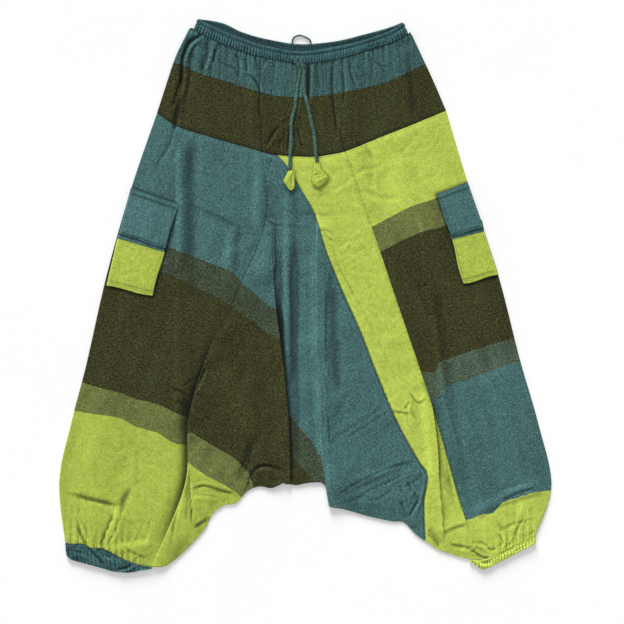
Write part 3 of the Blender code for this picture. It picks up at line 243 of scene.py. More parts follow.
# Creases: the same.
CREASES: Rows = [
    # Yoke: deep valleys by the side fold, the cord and the upright seams.
    (6, -8, -172, 466, -186, 453, -200, 444, -208, 430, -214, 413, -215, 392, -217, 371, -224, 348, -236, 326),
    (8, -3.4, -217, 371, -222, 336, -226, 312, -229, 284), (7, -1.1, -224, 312, -240, 262, -257, 233, -266, 203),
    (5, 1.9, -184, 466, -196, 458, -212, 444, -222, 424, -231, 402),
    (5, 1.9, -180, 458, -191, 444, -201, 430, -205, 410, -206, 382, -214, 336),
    (10, -2.5, -170, 455, -172, 438, -175, 413, -184, 385), (5, 1.8, -152, 452, -158, 438, -164, 418, -175, 385),
    (4, -1.4, -154, 434, -158, 420, -159, 406), (4, -0.9, -150, 411, -135, 402, -119, 396),
    (4, -1.5, -128, 427, -117, 413, -116, 378), (5, -1.4, -108, 418, -103, 406, -102, 390),
    (4, -1.9, -105, 390, -88, 378, -79, 357, -80, 329, -79, 304), (4, -1.4, -88, 422, -84, 404, -77, 392),
    (4, -1.4, -68, 416, -72, 404, -77, 392), (4, -0.8, -58, 413, -54, 392, -60, 368),
    (4, 0.8, -65, 410, -65, 378, -61, 343), (7, 0.7, -94, 357, -94, 317, -94, 270),
    (5, -2.5, -46, 298, -58, 280, -68, 261), (5, 1.1, -24, 317, -35, 312, -46, 306),
    (5, 0.8, -40, 284, -56, 271, -68, 256), (5, -1.5, -40, 276, -44, 266, -47, 254),
    (4, -1.9, -24, 304, -28, 276, -32, 250), (5, -1.1, -35, 294, -37, 275, -38, 256),
    (5, -1.9, -14, 298, -9, 276, -2, 256), (4, -1.5, -9, 318, -7, 304, -5, 287), (7, -3.7, 7, 413, 7, 374, 5, 332),
    (5, -3.2, -9, 396, -12, 357, -16, 315), (4, 0.8, -4, 387, -5, 343, -4, 308),
    (4, -2.5, 49, 413, 47, 378, 49, 343, 58, 270), (8, 0.6, 30, 350, 32, 308, 33, 262),
    (5, -1.4, 65, 396, 68, 364, 66, 332), (4, -0.9, 24, 410, 23, 385, 26, 360),
    (5, -0.8, 37, 413, 38, 388, 35, 371), (5, -1.2, 82, 413, 79, 392, 89, 360),
    # Yoke, left half.
    (5, 0.5, -173, 441, -175, 410, -166, 371), (5, -0.6, -145, 427, -150, 396, -145, 352),
    (5, -0.6, -121, 424, -124, 402, -114, 378), (5, 0.5, 89, 424, 89, 399, 107, 374),
    (5, -0.7, 107, 427, 117, 402, 112, 368), (5, -0.5, 131, 434, 128, 410, 142, 385),
    (5, 0.5, 152, 438, 163, 410, 166, 371), (5, -0.6, 170, 441, 182, 413, 187, 371),
    (5, 0.5, 191, 434, 201, 396, 212, 357), (4, -0.5, 117, 413, 138, 402, 158, 408),
    # Right thigh and the sunk strip.
    (3.5, -0.2, -196, 242, -186, 234, -173, 229), (3.5, -0.2, -214, 226, -196, 217, -166, 212, -114, 200),
    (7, -0.2, -205, 238, -194, 224, -180, 208), (3, -0.4, -219, 166, -189, 156, -166, 147, -144, 136, -116, 119),
    (4, -0.7, -52, 248, -60, 233, -65, 215), (4, -0.6, -74, 145, -61, 135, -51, 126, -38, 122),
    (4, -0.6, 10, 126, -2, 114, -14, 105, -21, 94), (4, 0.4, -68, 117, -79, 103, -84, 89),
    (3.5, -0.6, -96, -38, -79, -60, -51, -82), (3.5, -0.7, -28, -89, -14, -108, 4, -131, 18, -154),
    (4, 0.4, -70, -107, -58, -96, -46, -84), (3.5, -0.9, -10, -233, 7, -261, 19, -282, 28, -298, 32, -324),
    (4, -0.7, 9, -299, 19, -294, 28, -287), (4, -0.7, 9, -42, 10, -63, 10, -86),
    (4, -0.7, 16, -187, 19, -214, 23, -247), (3.5, 0.7, 35, -122, 37, -133, 38, -145),
    # Lime part beyond the slanting seam.
    (6, 0.3, 38, 170, 56, 184, 74, 196, 91, 210, 105, 217, 130, 222, 150, 234),
    (9, -0.4, 103, 264, 112, 252, 117, 238), (9, -0.4, 200, 290, 184, 271, 166, 248),
    (4, -0.6, 24, 116, 37, 114, 52, 110), (4, -0.5, 30, 112, 38, 105, 49, 96),
    (5, -0.5, 46, 93, 49, 84, 61, 47, 79, 14, 89, -9), (4, 0.3, 61, 80, 74, 91, 88, 94),
    (4, 0.2, 68, 47, 96, 61, 116, 72), (4, -1, 182, -166, 192, -182, 201, -186, 214, -178),
    (4, -0.7, 173, -198, 178, -191, 184, -184), (4, -0.9, 149, -201, 166, -203, 186, -206),
    (4, 0.4, 175, -191, 187, -192, 194, -200), (5, 0.4, 191, -280, 163, -289, 135, -299, 107, -313),
    (4, -0.7, 156, -336, 142, -345, 126, -354, 100, -357), (4, 0.6, 187, -308, 163, -320, 138, -334),
    (4, -0.9, 177, -320, 187, -340, 201, -357), (4, -0.6, 164, -329, 168, -336, 168, -346),
    (4, -0.9, 166, -355, 173, -374, 180, -390), (4, -0.6, 150, -371, 156, -378, 159, -385),
    (4, 0.6, 189, -332, 184, -354, 173, -368), (4, -0.7, 194, -287, 208, -301, 220, -312, 228, -320),
    # Ankle of the right leg.
    (3.5, -0.4, -429, -346, -402, -346, -383, -354, -359, -359, -327, -366),
    (5, 0.2, -425, -340, -394, -341, -362, -352), (5, 0.6, -322, -362, -336, -390, -352, -429),
    (5, -0.6, -313, -360, -322, -378, -332, -408, -341, -427, -346, -439),
    (5, -0.5, -396, -364, -392, -390, -383, -406, -380, -422),
    (5, -0.6, -399, -382, -396, -408, -388, -424, -380, -439), (4, 0.3, -390, -371, -397, -396, -402, -416),
    (4, -0.3, -420, -416, -408, -418, -394, -425),
    (4, -0.7, -326, -434, -304, -446, -285, -455, -275, -455, -262, -444, -243, -425),
    (4, -0.5, -304, -471, -294, -458, -284, -453), (4, -0.6, -282, -472, -273, -462, -266, -453),
    (5, -0.6, -240, -452, -234, -422, -228, -390, -219, -357, -214, -329),
    (4, 0.5, -229, -420, -217, -369, -208, -326, -205, -301), (6, -0.7, -203, -318, -206, -357, -208, -396),
    (6, -0.3, -236, -329, -236, -357, -243, -394), (6, -0.2, -280, -343, -278, -360, -276, -382),
    (5, -0.1, -371, -234, -368, -290, -369, -336), (4, -0.5, -415, -443, -399, -444, -382, -453),
    (4, 0.3, -362, -392, -368, -413, -374, -432),
    # Around the crotch.
    (5, -1.9, -201, -338, -180, -332, -163, -334, -140, -341, -117, -345),
    (5, 0.8, -198, -352, -175, -352, -145, -357), (4, -1.4, -194, -404, -182, -396, -166, -387),
    (3.5, -1, -112, -357, -105, -340, -94, -320), (3.5, -0.9, -114, -289, -102, -304, -93, -312),
    (3.5, -1.4, -42, -304, -33, -308, -23, -315), (10, -0.3, -93, -173, -82, -226, -86, -270),
    (5, -2.2, -108, -352, -102, -336, -96, -318, -86, -303, -74, -296, -52, -299, -38, -304, -26, -312),
    (5, 1.3, -103, -340, -91, -312, -75, -303, -54, -308), (5, -1.3, -65, -312, -51, -320, -26, -324),
    (5, -0.6, -201, -340, -166, -340, -131, -345, -108, -352), (5, 0.5, -184, -410, -168, -388, -156, -378),
    (7, 0.3, -163, -301, -145, -326, -117, -340), (5, 0.4, -289, -392, -296, -416, -310, -441),
    (5, -0.4, -271, -388, -275, -410, -285, -434), (5, 0.3, -254, -378, -250, -402, -257, -427),
    # Ankle of the left leg.
    (4, -2.6, 284, -448, 294, -446, 303, -452, 313, -457, 326, -457),
    (6, 1.8, 289, -439, 304, -436, 315, -441, 324, -452), (4, -1, 278, -444, 289, -441, 298, -441, 306, -430),
    (4, -1.2, 317, -439, 326, -443, 334, -439), (4, -0.9, 336, -413, 343, -422, 345, -432, 336, -439),
    (4, 0.8, 346, -416, 350, -429, 345, -441), (4, -0.9, 378, -378, 380, -390, 374, -402, 369, -416, 366, -427),
    (4, 0.8, 373, -388, 368, -402, 362, -416),
    (4, -0.7, 345, -411, 355, -401, 369, -396, 387, -392, 402, -387, 413, -380),
    (4, -1.5, 420, -374, 415, -387, 408, -401, 401, -411, 390, -420), (4, -0.9, 355, -436, 362, -429, 366, -420),
    (5, -2, 334, -359, 350, -354, 371, -345, 394, -338, 408, -338), (6, 1, 338, -346, 362, -338, 390, -329),
    (4, 0.7, 387, -416, 390, -396, 388, -371), (4, -1.3, 250, -434, 271, -436, 292, -438, 306, -432),
    (4, 0.8, 254, -443, 275, -444, 292, -446), (4, -0.6, 238, -415, 262, -404, 285, -399),
    (4, -1.8, 212, -411, 220, -420, 229, -432, 236, -441), (4, -1.7, 201, -352, 191, -369, 180, -388),
    (4, -1.3, 180, -404, 187, -404, 196, -404), (4, 1, 210, -322, 201, -357, 189, -392),
    # Legs.
    (5, -2.2, -173, -124, -182, -147, -194, -170), (5, -2, -214, -177, -203, -189, -196, -210),
    (4, 1.2, -226, -189, -212, -201, -201, -198), (5, -1.6, -215, -214, -205, -228, -208, -248),
    (14, 0.4, -159, -38, -138, -94, -145, -156), (14, -0.3, -114, -60, -107, -112, -121, -182),
    (12, 0.3, -75, -7, -65, -94, -58, -182), (7, -0.4, -178, -178, -158, -191, -128, -189),
    (9, 0.3, -175, -226, -145, -238, -114, -234), (7, -0.3, -149, -217, -121, -231, -75, -228),
    (12, 0.3, -373, -252, -376, -304, -373, -348), (12, -0.3, -289, -261, -296, -304, -292, -340),
    (7, -0.3, -236, -270, -233, -313, -240, -357), (5, -0.6, 208, -304, 194, -322, 166, -336),
    (5, 0.4, 198, -332, 180, -350, 159, -360), (9, -0.3, 82, -147, 70, -182, 47, -214),
    (5, 0.3, -9, 150, -5, 80, -9, 10), (5, -0.3, -23, 133, -19, 63, -16, -60), (5, 0.3, 0, -7, -2, -94, 2, -200),
    (12, 0.3, 61, -7, 54, -77, 61, -138), (9, -0.3, 35, 63, 33, -7, 40, -77),
    (7, -0.3, 61, 89, 79, 19, 105, -33, 140, -103, 158, -147), (5, 0.6, 186, -178, 182, -203, 194, -224),
    (5, -0.5, 201, -147, 210, -161, 215, -178), (5, 0.5, 257, -304, 262, -343, 270, -378),
    (5, -0.3, 247, -252, 248, -296, 256, -340), (9, 0.3, 23, 228, 47, 210, 63, 175),
    (7, 0.3, 96, 116, 79, 98, 63, 77), (7, -0.3, 44, 159, 58, 130, 68, 98), (10, 0.3, 105, 238, 152, 231, 201, 242),
    (9, -0.3, 96, 194, 128, 175, 170, 175), (9, 0.3, 124, 224, 121, 186, 131, 150),
    (6, 0.4, 192, 49, 220, -19, 234, -96, 242, -180, 257, -234, 271, -287, 285, -340),
    (6, -0.3, 182, 60, 208, -16, 222, -96, 231, -175), (14, 0.3, 289, -7, 303, -77, 306, -147),
    (10, -0.3, 163, 80, 184, 19, 198, -60), (10, -0.3, 341, -7, 355, -77, 366, -133),
    (14, 0.3, 306, -182, 317, -252, 315, -322), (12, -0.3, 362, -182, 376, -252, 383, -313),
    # Small dark slubs.
    (4, -1.8, -129, -52, -128, -54, -127, -56), (4, -1.8, 210, 23, 211, 21, 212, 19),
    (4, -1.8, 219, -30, 220, -32, 220, -33),
]
# Laps, where the cloth falls at a line and rises slowly beyond it: reach, drop, shade, then
# the points (x, y); seen along the line, it falls to the left.
LAPS: Rows = [
    (6, 1.5, 1.3, 219, -168, 224, -200, 229, -234, 233, -270, 234, -301, 234, -325),
    (12, 0.8, 0.28, 234, -290, 236, -340, 240, -380, 242, -430),
    (5, 1, 0.5, -196, -404, -198, -374, -200, -345, -201, -318, -201, -299),
    (5, 0.9, 0.5, -166, -383, -182, -396, -196, -404),
    (3.5, 1.2, 0.65, -357, -441, -350, -420, -341, -399, -329, -373),
    (3.5, 0.9, 0.35, -346, -441, -338, -422, -327, -399, -320, -374),
    (3.5, 0.9, 0.5, -397, -404, -392, -420, -385, -438),
    (4, 0.7, 0.5, -217, -163, -206, -154, -191, -145, -177, -133),
    (5, 1, 0.9, -201, -200, -208, -189, -217, -184, -228, -182),
    (5, 1, 0.9, -201, -178, -212, -168, -222, -163, -233, -163),
    (4, 0.9, 0.8, -198, -180, -191, -161, -180, -142, -170, -122),
    (4, 0.8, 0.5, -192, -201, -177, -212, -161, -217), (5, 1.2, 0.9, 212, -408, 220, -415, 228, -427, 234, -439),
    (4, 0.9, 0.7, -75, -301, -58, -296, -38, -298, -24, -306),
    (4, 0.9, 0.6, -105, -334, -100, -318, -89, -303, -75, -290), (5, 0.8, 0.5, -54, 133, -58, 89, -56, 46, -52, -7),
    (3, 0.7, 0.6, 49, -355, 79, -334, 114, -315, 156, -299, 196, -289),
    (3, 0.6, 0.45, 70, -364, 100, -348, 131, -332, 156, -322, 180, -308),
    (4, 0.5, 0.25, 61, -254, 96, -234, 122, -217, 152, -198),
]
# Folds of the crumpled cuffs: half width, rise, then the points (x, y).
CUFF_FOLDS: dict[str, Rows] = {
    "right": [(2.6, -3, -385, -434, -373, -446, -362, -457, -354, -467, -346, -472),
        (2.4, 1.4, -380, -432, -368, -444, -355, -457, -345, -467), (2.6, -2.6, -348, -452, -343, -455, -336, -458),
        (2.6, -2.6, -331, -478, -317, -476, -306, -472, -299, -466),
        (2.4, 1.5, -334, -483, -318, -481, -303, -476, -290, -469),
        (2.4, -1.5, -418, -448, -410, -444, -399, -446, -387, -450),
        (2.6, 1.2, -415, -455, -399, -452, -380, -458, -362, -467),
        (2.4, -1.6, -369, -448, -359, -444, -346, -446, -338, -452),
        (2.4, -1.3, -360, -474, -345, -476, -331, -481), (2.6, 1.1, -352, -455, -338, -464, -322, -467)],
    "left": [(2.4, -2, 304, -464, 317, -466, 327, -462), (2.4, 1, 303, -471, 313, -472, 322, -469)],
}


# ---- curves and surfaces
def smooth(value: Array | float) -> Array:
    """0 below 0, 1 above 1, and an even rise between: 3 v squared less 2 v cubed."""
    value = np.clip(value, 0.0, 1.0)
    return value * value * (3 - 2 * value)


def bell(distance: Array | float, width: Array | float) -> Array:
    """A bell curve: e to the power of less the square of distance over width."""
    return np.exp(-(distance / width) ** 2)


def spline(points: Points | Array, place: Array | float) -> Array:
    """Points of the smooth curve through a table's rows.

    Between two rows it is the Catmull-Rom cubic, whose direction at a row is that from the
    row before to the row after.

    Args:
        points: The table's rows.
        place: Row numbers, also between rows.

    Returns:
        One point for each place.
    """
    table = np.asarray(points, float)
    place = np.clip(np.asarray(place, float), 0, len(table) - 1)
    first = np.minimum(place.astype(int), len(table) - 2)
    t = (place - first)[..., None]
    before, start = table[np.maximum(first - 1, 0)], table[first]
    end, after = table[first + 1], table[np.minimum(first + 2, len(table) - 1)]
    cubic = (-before + 3 * start - 3 * end + after) * t ** 3
    square = (2 * before - 5 * start + 4 * end - after) * t ** 2
    return 0.5 * (2 * start + (end - before) * t + square + cubic)


def resampled(points: Points | Array, steps: int = 5, count: int = 0) -> Array:
    """Points of a table's curve, with so many steps from row to row, or so many in all."""
    last = len(points) - 1
    return spline(points, np.linspace(0, last, count or steps * last + 1))


def height_on(points: Points, x: Array | float) -> Array:
    """The y at each x of the curve through a table whose x rises all along."""
    line = resampled(points, 24)
    return np.interp(x, line[:, 0], line[:, 1])


def place_on(points: Points, y: Array | float) -> Array:
    """The x at each y of the curve through a table whose y falls all along."""
    return height_on([(-py, px) for px, py in points], -np.asarray(y))


def along_line(x: Array, y: Array, line: Array) -> tuple[Array, Array, float]:
    """Where points lie beside a line: each is dropped onto every straight piece of it.

    Args:
        x, y: The points.
        line: The line's corners.

    Returns:
        Distance to the nearest foot, positive on the line's left; that foot's place along
        the line; and the line's length.
    """
    nearest = np.full(np.shape(x), np.inf)
    signed, place, passed = np.zeros(np.shape(x)), np.zeros(np.shape(x)), 0.0
    for start, step in zip(line[:-1], np.diff(line, axis=0)):
        length = float(np.hypot(*step)) or 1e-6
        share = np.clip(((x - start[0]) * step[0] + (y - start[1]) * step[1]) / length ** 2, 0, 1)
        dx, dy = x - start[0] - share * step[0], y - start[1] - share * step[1]
        away = np.hypot(dx, dy)
        nearer = away < nearest
        nearest = np.where(nearer, away, nearest)
        signed = np.where(nearer, away * np.sign(step[0] * dy - step[1] * dx), signed)
        place = np.where(nearer, passed + share * length, place)
        passed += length
    return signed, place, passed


def rumple(x: Array, y: Array, size: float, seed: int) -> Array:
    """Smooth uneven heights from -1 to 1.

    Random numbers at the corners of a lattice of squares are blended by the smooth step in
    x and in y.

    Args:
        x, y: The points, mm.
        size: Side of a square, mm.
        seed: Which lattice.

    Returns:
        The heights.
    """
    lattice = np.random.default_rng(seed).uniform(-1, 1, (LATTICE, LATTICE))
    across, up = x / size + LATTICE_START[0], y / size + LATTICE_START[1]
    i, j = np.floor(across).astype(int), np.floor(up).astype(int)
    u, v = smooth(across - i), smooth(up - j)
    i, j, right, above = (number % LATTICE for number in (i, j, i + 1, j + 1))
    low = lattice[i, j] * (1 - u) + lattice[right, j] * u
    high = lattice[i, above] * (1 - u) + lattice[right, above] * u
    return low * (1 - v) + high * v


def blurred(values: Array, times: int) -> Array:
    """A grid of values, each mixed with its neighbours (1, 2, 1) again and again.

    Args:
        values: Rows and columns of numbers.
        times: How many times.

    Returns:
        The blurred grid.
    """
    for _ in range(times):
        wide = np.pad(values, 1, mode="edge")
        wide = (wide[:-2] + 2 * wide[1:-1] + wide[2:]) / 4
        values = (wide[:, :-2] + 2 * wide[:, 1:-1] + wide[:, 2:]) / 4
    return values


def raised(flat: Array, height: Callable[[Array, Array], Array]) -> Array:
    """Points (x, y) with their heights, from a function of x and y, as a third number."""
    return np.concatenate([flat, height(flat[..., 0], flat[..., 1])[..., None]], axis=-1)


def travelled(points: Array, axis: int = 0) -> Array:
    """Distance from the first of the points, added up from one to the next along an axis."""
    steps = np.diff(points, axis=axis, prepend=np.take(points, [0], axis=axis))
    return np.cumsum(np.linalg.norm(steps, axis=-1), axis=axis)


def between_columns(columns: list[Array], count: int) -> Array:
    """Grid, rows x (count + 1) x 2, whose rows pass through the given columns of points."""
    grid = resampled(np.stack([column.ravel() for column in columns]), count=count + 1)
    return np.moveaxis(grid.reshape(count + 1, -1, 2), 0, 1)


def fit_edges(grid: Array, top: Points | None, hem: Points | None) -> Array:
    """Move the rows near the top and bottom so that the end rows lie on the edge curves.

    Args:
        grid: Rows x columns x 2 or 3.
        top, hem: Curves of the edges, or None.

    Returns:
        The moved grid.
    """
    place = np.linspace(0, 1, len(grid))[:, None]
    grid = grid.copy()
    for curve, row, share in ((top, 0, 1 - place / TOP_FIT), (hem, -1, (place - 1) / HEM_FIT + 1)):
        if curve is not None:
            grid[..., 1] += (height_on(curve, grid[row, :, 0]) - grid[row, :, 1]) * smooth(share)
    return grid


def trimmed(grid: Array, left: float, right: float, top: float, bottom: float) -> Array:
    """The grid with its edge points drawn in, so that sewn pieces stay apart.

    Args:
        grid: Rows x columns x 3, mm.
        left, right, top, bottom: How far each edge moves towards the points next to it.

    Returns:
        The trimmed grid.
    """
    grid = grid.copy()
    for amount, edge, inner in ((left, np.s_[:, 0], np.s_[:, 1]), (right, np.s_[:, -1], np.s_[:, -2]),
                                (top, np.s_[0], np.s_[1]), (bottom, np.s_[-1], np.s_[-2])):
        pull = grid[inner] - grid[edge]
        span = np.maximum(np.linalg.norm(pull, axis=-1, keepdims=True), 1e-6)
        grid[edge] = grid[edge] + pull / span * np.minimum(amount, 0.6 * span)
    return grid


def band_place(x: Array, y: Array, curves: list[Points], first: float = 2.0, margin: float = 40.0) -> Array:
    """Which woven band each point lies in, as a number that grows down the cloth.

    It is first + 0, 1, 2 ... on the curves in turn, and straight between them.

    Args:
        x, y: The points, mm.
        curves: Lines where two bands meet, from the top down.
        first: Number on the first curve.
        margin: How far past the outer curves it is one less or one more, mm.

    Returns:
        The band numbers.
    """
    levels = [height_on(curve, x) for curve in curves]
    value = np.full(np.shape(x), first - 1.0)
    for upper, lower in zip([levels[0] + margin] + levels, levels + [levels[-1] - margin]):
        value += np.clip((upper - y) / np.maximum(upper - lower, 1e-3), 0, 1)
    return value


def turned(x: Array, y: Array, degrees: float | Array) -> Array:
    """Thread coordinates in metres: x and y turned so that the first runs along the weft."""
    cosine, sine = np.cos(np.radians(degrees)), np.sin(np.radians(degrees))
    return np.stack([x * cosine + y * sine, y * cosine - x * sine], axis=-1) * MM


# ---- shape of the cloth
@dataclass(frozen=True)
class Gathers:
    """One wavelength of gathers: its pitch, depth and reach, and how its pitch wanders."""

    pitch: float
    depth: float
    reach: float
    drift: float            # in waves
    slowness: float

    def height(self, x: Array, away: Array, uneven: Array | float) -> Array:
        """A cosine along x whose pitch wanders with a slow sine, fading away from the edge."""
        waves = x / self.pitch + self.drift * np.sin(x / self.slowness)
        return self.depth * np.cos(2 * math.pi * waves) * np.exp(-away / (self.reach * uneven))


@dataclass(frozen=True)
class FrontShape:
    """Height of the front cloth's outer face over the surface that the garment lies on."""

    broad: Gathers = Gathers(15.5, 0.5, 34.0, 0.30, 31.0)
    middling: Gathers = Gathers(9.7, 0.6, 13.0, 0.42, 17.0)
    fine: Gathers = Gathers(4.6, 0.55, 6.0, 0.55, 12.0)
    cuff: Gathers = Gathers(12.5, 0.45, 24.0, 0.25, 17.0)
    fine_cuff: Gathers = Gathers(5.1, 0.30, 11.0, 0.5, 13.0)
    seam_dip: float = 0.8
    seam_dip_width: float = 5.0
    pucker_pitch: float = 8.5
    pucker_depth: float = 0.07
    crease_share: float = 0.55          # of its row's half width, which the pressed line takes
    least_crease: float = 2.6           # least half width of a pressed line
    crease_reach: float = 4.2           # how many half widths away it is worked out
    crease_parts: tuple[tuple[float, float, float], ...] = (    # height, offset, half width
        (0.62, 0.0, 1.0), (-0.40, 1.6, 1.1), (0.22, 0.0, 2.4))
    lap_softness: float = 1.6           # how wide the step of a lap is
    valley: tuple[float, float, int] = (0.34, 34.0, 11)         # height, size and seed
    unevenness: tuple[tuple[float, float, int], ...] = ((0.45, 70.0, 10), (0.13, 13.0, 12), (0.07, 6.0, 13))

    def inside(self, x: Array, y: Array) -> Array:
        """0 at the side folds, rising to 1 within the edge's softness."""
        right = place_on(YOKE_RIGHT["side_fold"][:-1] + RIGHT_SIDE["side_fold"], y)
        left = place_on(YOKE_LEFT["side_fold"][:-1] + LEFT_SIDE["side_fold"], y)
        return 1 - bell(np.minimum(np.abs(x - right), np.abs(x - left)), EDGE_SOFTNESS)

    def near_upright_seam(self, x: Array, y: Array) -> Array:
        """1 on the yoke's two upright seams, falling to 0 beside them as a bell curve."""
        return (y > 250) * sum(bell(x - place_on(table["seam"], y), self.seam_dip_width)
                               for table in (YOKE_RIGHT, YOKE_LEFT))

    def gathers(self, x: Array, y: Array) -> Array:
        """Gathers that hang from the waistband and rise from the cuffs.

        The finest of the band's three wavelengths end within a centimetre, and run together
        into the broad ones.

        Args:
            x, y: The points, mm.

        Returns:
            Heights, mm.
        """
        below = np.maximum(height_on(BAND_FRONT_BOTTOM, x) - y, 0)
        still = y * 0
        sway = (16 * np.sin(x / 19.0) + 8 * np.sin(x / 7.3)) / self.broad.reach
        total = self.broad.height(x, below, 1 + sway)
        total += (1 + 0.6 * rumple(x, still, 9.0, 41)) * self.middling.height(
            x, below, 1 + 0.5 * rumple(x, still, 14.0, 42))
        total += self.fine.height(x, below, 1 + 0.5 * rumple(x, still, 7.0, 43))
        total *= 1 - self.near_upright_seam(x, y)
        for edge in (CUFF_RIGHT_TOP, CUFF_LEFT_TOP):
            above = np.maximum(y - height_on(edge, x), 0)
            over = smooth((x - edge[0][0]) / 12 + 1) * smooth((edge[-1][0] - x) / 12 + 1)
            wave = self.cuff.height(x, above, 1 + 9 * np.sin(x / 11.0) / self.cuff.reach)
            wave += self.fine_cuff.height(x, above, 1 + 0.5 * rumple(x, still, 9.0, 44))
            total += wave * over
        return total

    def seam_relief(self, x: Array, y: Array) -> Array:
        """Dips along the inner seams, and the small puckers beside them.

        The dip is a bell curve of the distance to the seam; the puckers are a wave along it
        with wandering pitch, gone within a centimetre.

        Args:
            x, y: The points, mm.

        Returns:
            Heights, mm.
        """
        total = np.zeros(np.shape(x))
        for number, (points, dip) in enumerate((
                (YOKE_SEAM, 0.0), (DIAGONAL_SEAM, 0.55), (RIGHT_SIDE["front_seam"][:4], 0.0),
                (LEFT_SIDE["front_seam"], 0.12), (CROTCH_SEAM, 0.3))):
            away, place, _ = along_line(x, y, resampled(points, 4))
            wave = np.sin(2 * math.pi * place / self.pucker_pitch + 3 * np.sin(place / 23 + number))
            uneven = 1 + 0.7 * rumple(place, place * 0, 30.0, 50 + number)
            total += self.pucker_depth * wave * uneven * bell(away, 6.5) - dip * bell(away, 2.2)
        return total

    def broad_folds(self, x: Array, y: Array) -> Array:
        """The broad folds: each a bell curve of the distance to its line, faded at its ends.

        Args:
            x, y: The points, mm.

        Returns:
            Heights, mm.
        """
        total = np.zeros(np.shape(x))
        for half_width, rise, *numbers in BROAD_FOLDS:
            line = np.reshape(numbers, (-1, 2))
            away, place, length = along_line(x, y, resampled(line) if len(line) > 2 else line)
            fade = smooth((np.minimum(place, length - place) + 8) / 34)
            total += rise * fade * bell(away, half_width)
        return total

    def creases(self, x: Array, y: Array) -> Array:
        """The sum of all the creases.

        Across its line a crease is a narrow bell curve, a weaker one of the other sign
        beside it, where cloth piles up next to the fold, and a wide faint one of the cloth
        that it draws along. Along the line it fades at both ends.

        Args:
            x, y: The points, mm.

        Returns:
            Heights, mm.
        """
        total = np.zeros(np.shape(x))
        for half_width, rise, *numbers in CREASES:
            line = np.reshape(numbers, (-1, 2))
            reach = self.crease_reach * half_width
            low, high = line.min(axis=0) - reach, line.max(axis=0) + reach
            near = (x > low[0]) & (x < high[0]) & (y > low[1]) & (y < high[1])
            if near.any():
                away, place, length = along_line(x[near], y[near], resampled(line))
                across = away / max(self.crease_share * half_width, self.least_crease)
                shape = sum(part * bell(across - offset, width) for part, offset, width in self.crease_parts)
                total[near] += rise * shape * smooth(np.minimum(place, length - place) / (0.22 * length))
        return total

    def laps(self, x: Array, y: Array, shade: bool = False) -> Array:
        """The laps: nothing on one side of the line, and on the other an exponential rise.

        Args:
            x, y: The points, mm.
            shade: Give each lap's shade in place of its drop.

        Returns:
            Heights, mm, none above 0.
        """
        total = np.zeros(np.shape(x))
        for reach, drop, dark, *numbers in LAPS:
            away, place, length = along_line(x, y, resampled(np.reshape(numbers, (-1, 2)), count=31))
            fade = smooth(np.minimum(place, length - place) / (0.25 * length) + 0.1)
            fallen = np.exp(-np.maximum(away, 0) / reach) * smooth(away / self.lap_softness + 0.7)
            total -= (dark if shade else drop) * fade * fallen * (np.abs(away) < 6 * reach)
        return total

    def contact(self, x: Array, y: Array) -> Array:
        """Shade of the drawstring's ends, the tips and the pockets on the cloth beside them.

        A bell curve of the distance to each line, which is moved away from the light.

        Args:
            x, y: The points, mm.

        Returns:
            Numbers from 0 up.
        """
        lines = []
        for side, tip in TIPS.items():
            lines += [(CORD_ROUTES[side], (2.2, 0.0), 4.0, 1.0), (tip + tip[:1], (1.6, -2.6), 3.4, 1.0)]
            lines += [(corners + corners[:1], (0.8, -0.8), 3.0, 2.2)
                      for corners in (POCKETS[side]["flap"], POCKETS[side]["bag"])]
        return np.max([dark * bell(along_line(x, y, np.array(line, float) + shift)[0], reach)
                       for line, shift, reach, dark in lines], axis=0)

    def softness(self, x: Array, y: Array) -> Array:
        """Unevenness of washed cotton: random heights of four sizes, with soft valleys."""
        height, *lattice = self.valley
        valleys = height * (0.5 - np.abs(rumple(x, y, *lattice)))
        return valleys + sum(height * rumple(x, y, *lattice) for height, *lattice in self.unevenness)

    def height(self, x: Array, y: Array) -> Array:
        """Height of the outer face: its loft, lower at the edges, and all folds.

        Args:
            x, y: The points, mm.

        Returns:
            Heights, mm.
        """
        x, y = np.asarray(x, float), np.asarray(y, float)
        loft = np.interp(y, *zip(*LOFT))
        side = SIDE_HEIGHT + WAIST_LIFT * smooth((y - WAIST_LIFT_FROM) / WAIST_LIFT_LENGTH)
        inside = self.inside(x, y)
        height = side + (np.maximum(loft, side) - side) * inside + self.gathers(x, y)
        dips = self.seam_dip * bell(y - height_on(YOKE_SEAM, x), self.seam_dip_width)
        height += (self.broad_folds(x, y) - dips - 0.6 * self.near_upright_seam(x, y)) * inside
        detail = self.seam_relief(x, y) + self.softness(x, y) + self.creases(x, y) + self.laps(x, y)
        height += detail * (0.25 + 0.75 * inside)
        hem = height_on(HEM_RIGHT + HEM_STRIP[1:] + HEM_LEFT, x)
        over_hem = smooth((x - HEM_RIGHT[0][0]) / 40 + 1) * smooth((HEM_LEFT[-1][0] - x) / 40 + 1)
        down = over_hem * bell(np.maximum(y - hem, 0), EDGE_SOFTNESS)
        height += (HEM_HEIGHT + 0.5 * detail - height) * down
        return np.maximum(height, LEAST_HEIGHT + 0.1 * rumple(x, y, 9.0, 14))

    def middle(self, x: Array, y: Array) -> Array:
        """Height of the middle of the cloth, where the front lies flat."""
        return self.height(x, y) - LAYER / 2


FRONT = FrontShape()


def back_middle(x: Array, y: Array) -> Array:
    """Height of the middle of the back cloth: flat on the surface, with slight wrinkles.

    Wrinkles are the random heights' soft valleys turned over, so that they only rise.

    Args:
        x, y: The points, mm.

    Returns:
        Heights, mm.
    """
    ridges = np.maximum(0.25 - np.abs(rumple(x, y, 48.0, 21)), 0)
    ridges += np.maximum(0.18 - np.abs(rumple(x * 1.3, y * 0.7, 33.0, 22)), 0)
    return WALL / 2 + 0.06 + 1.5 * ridges


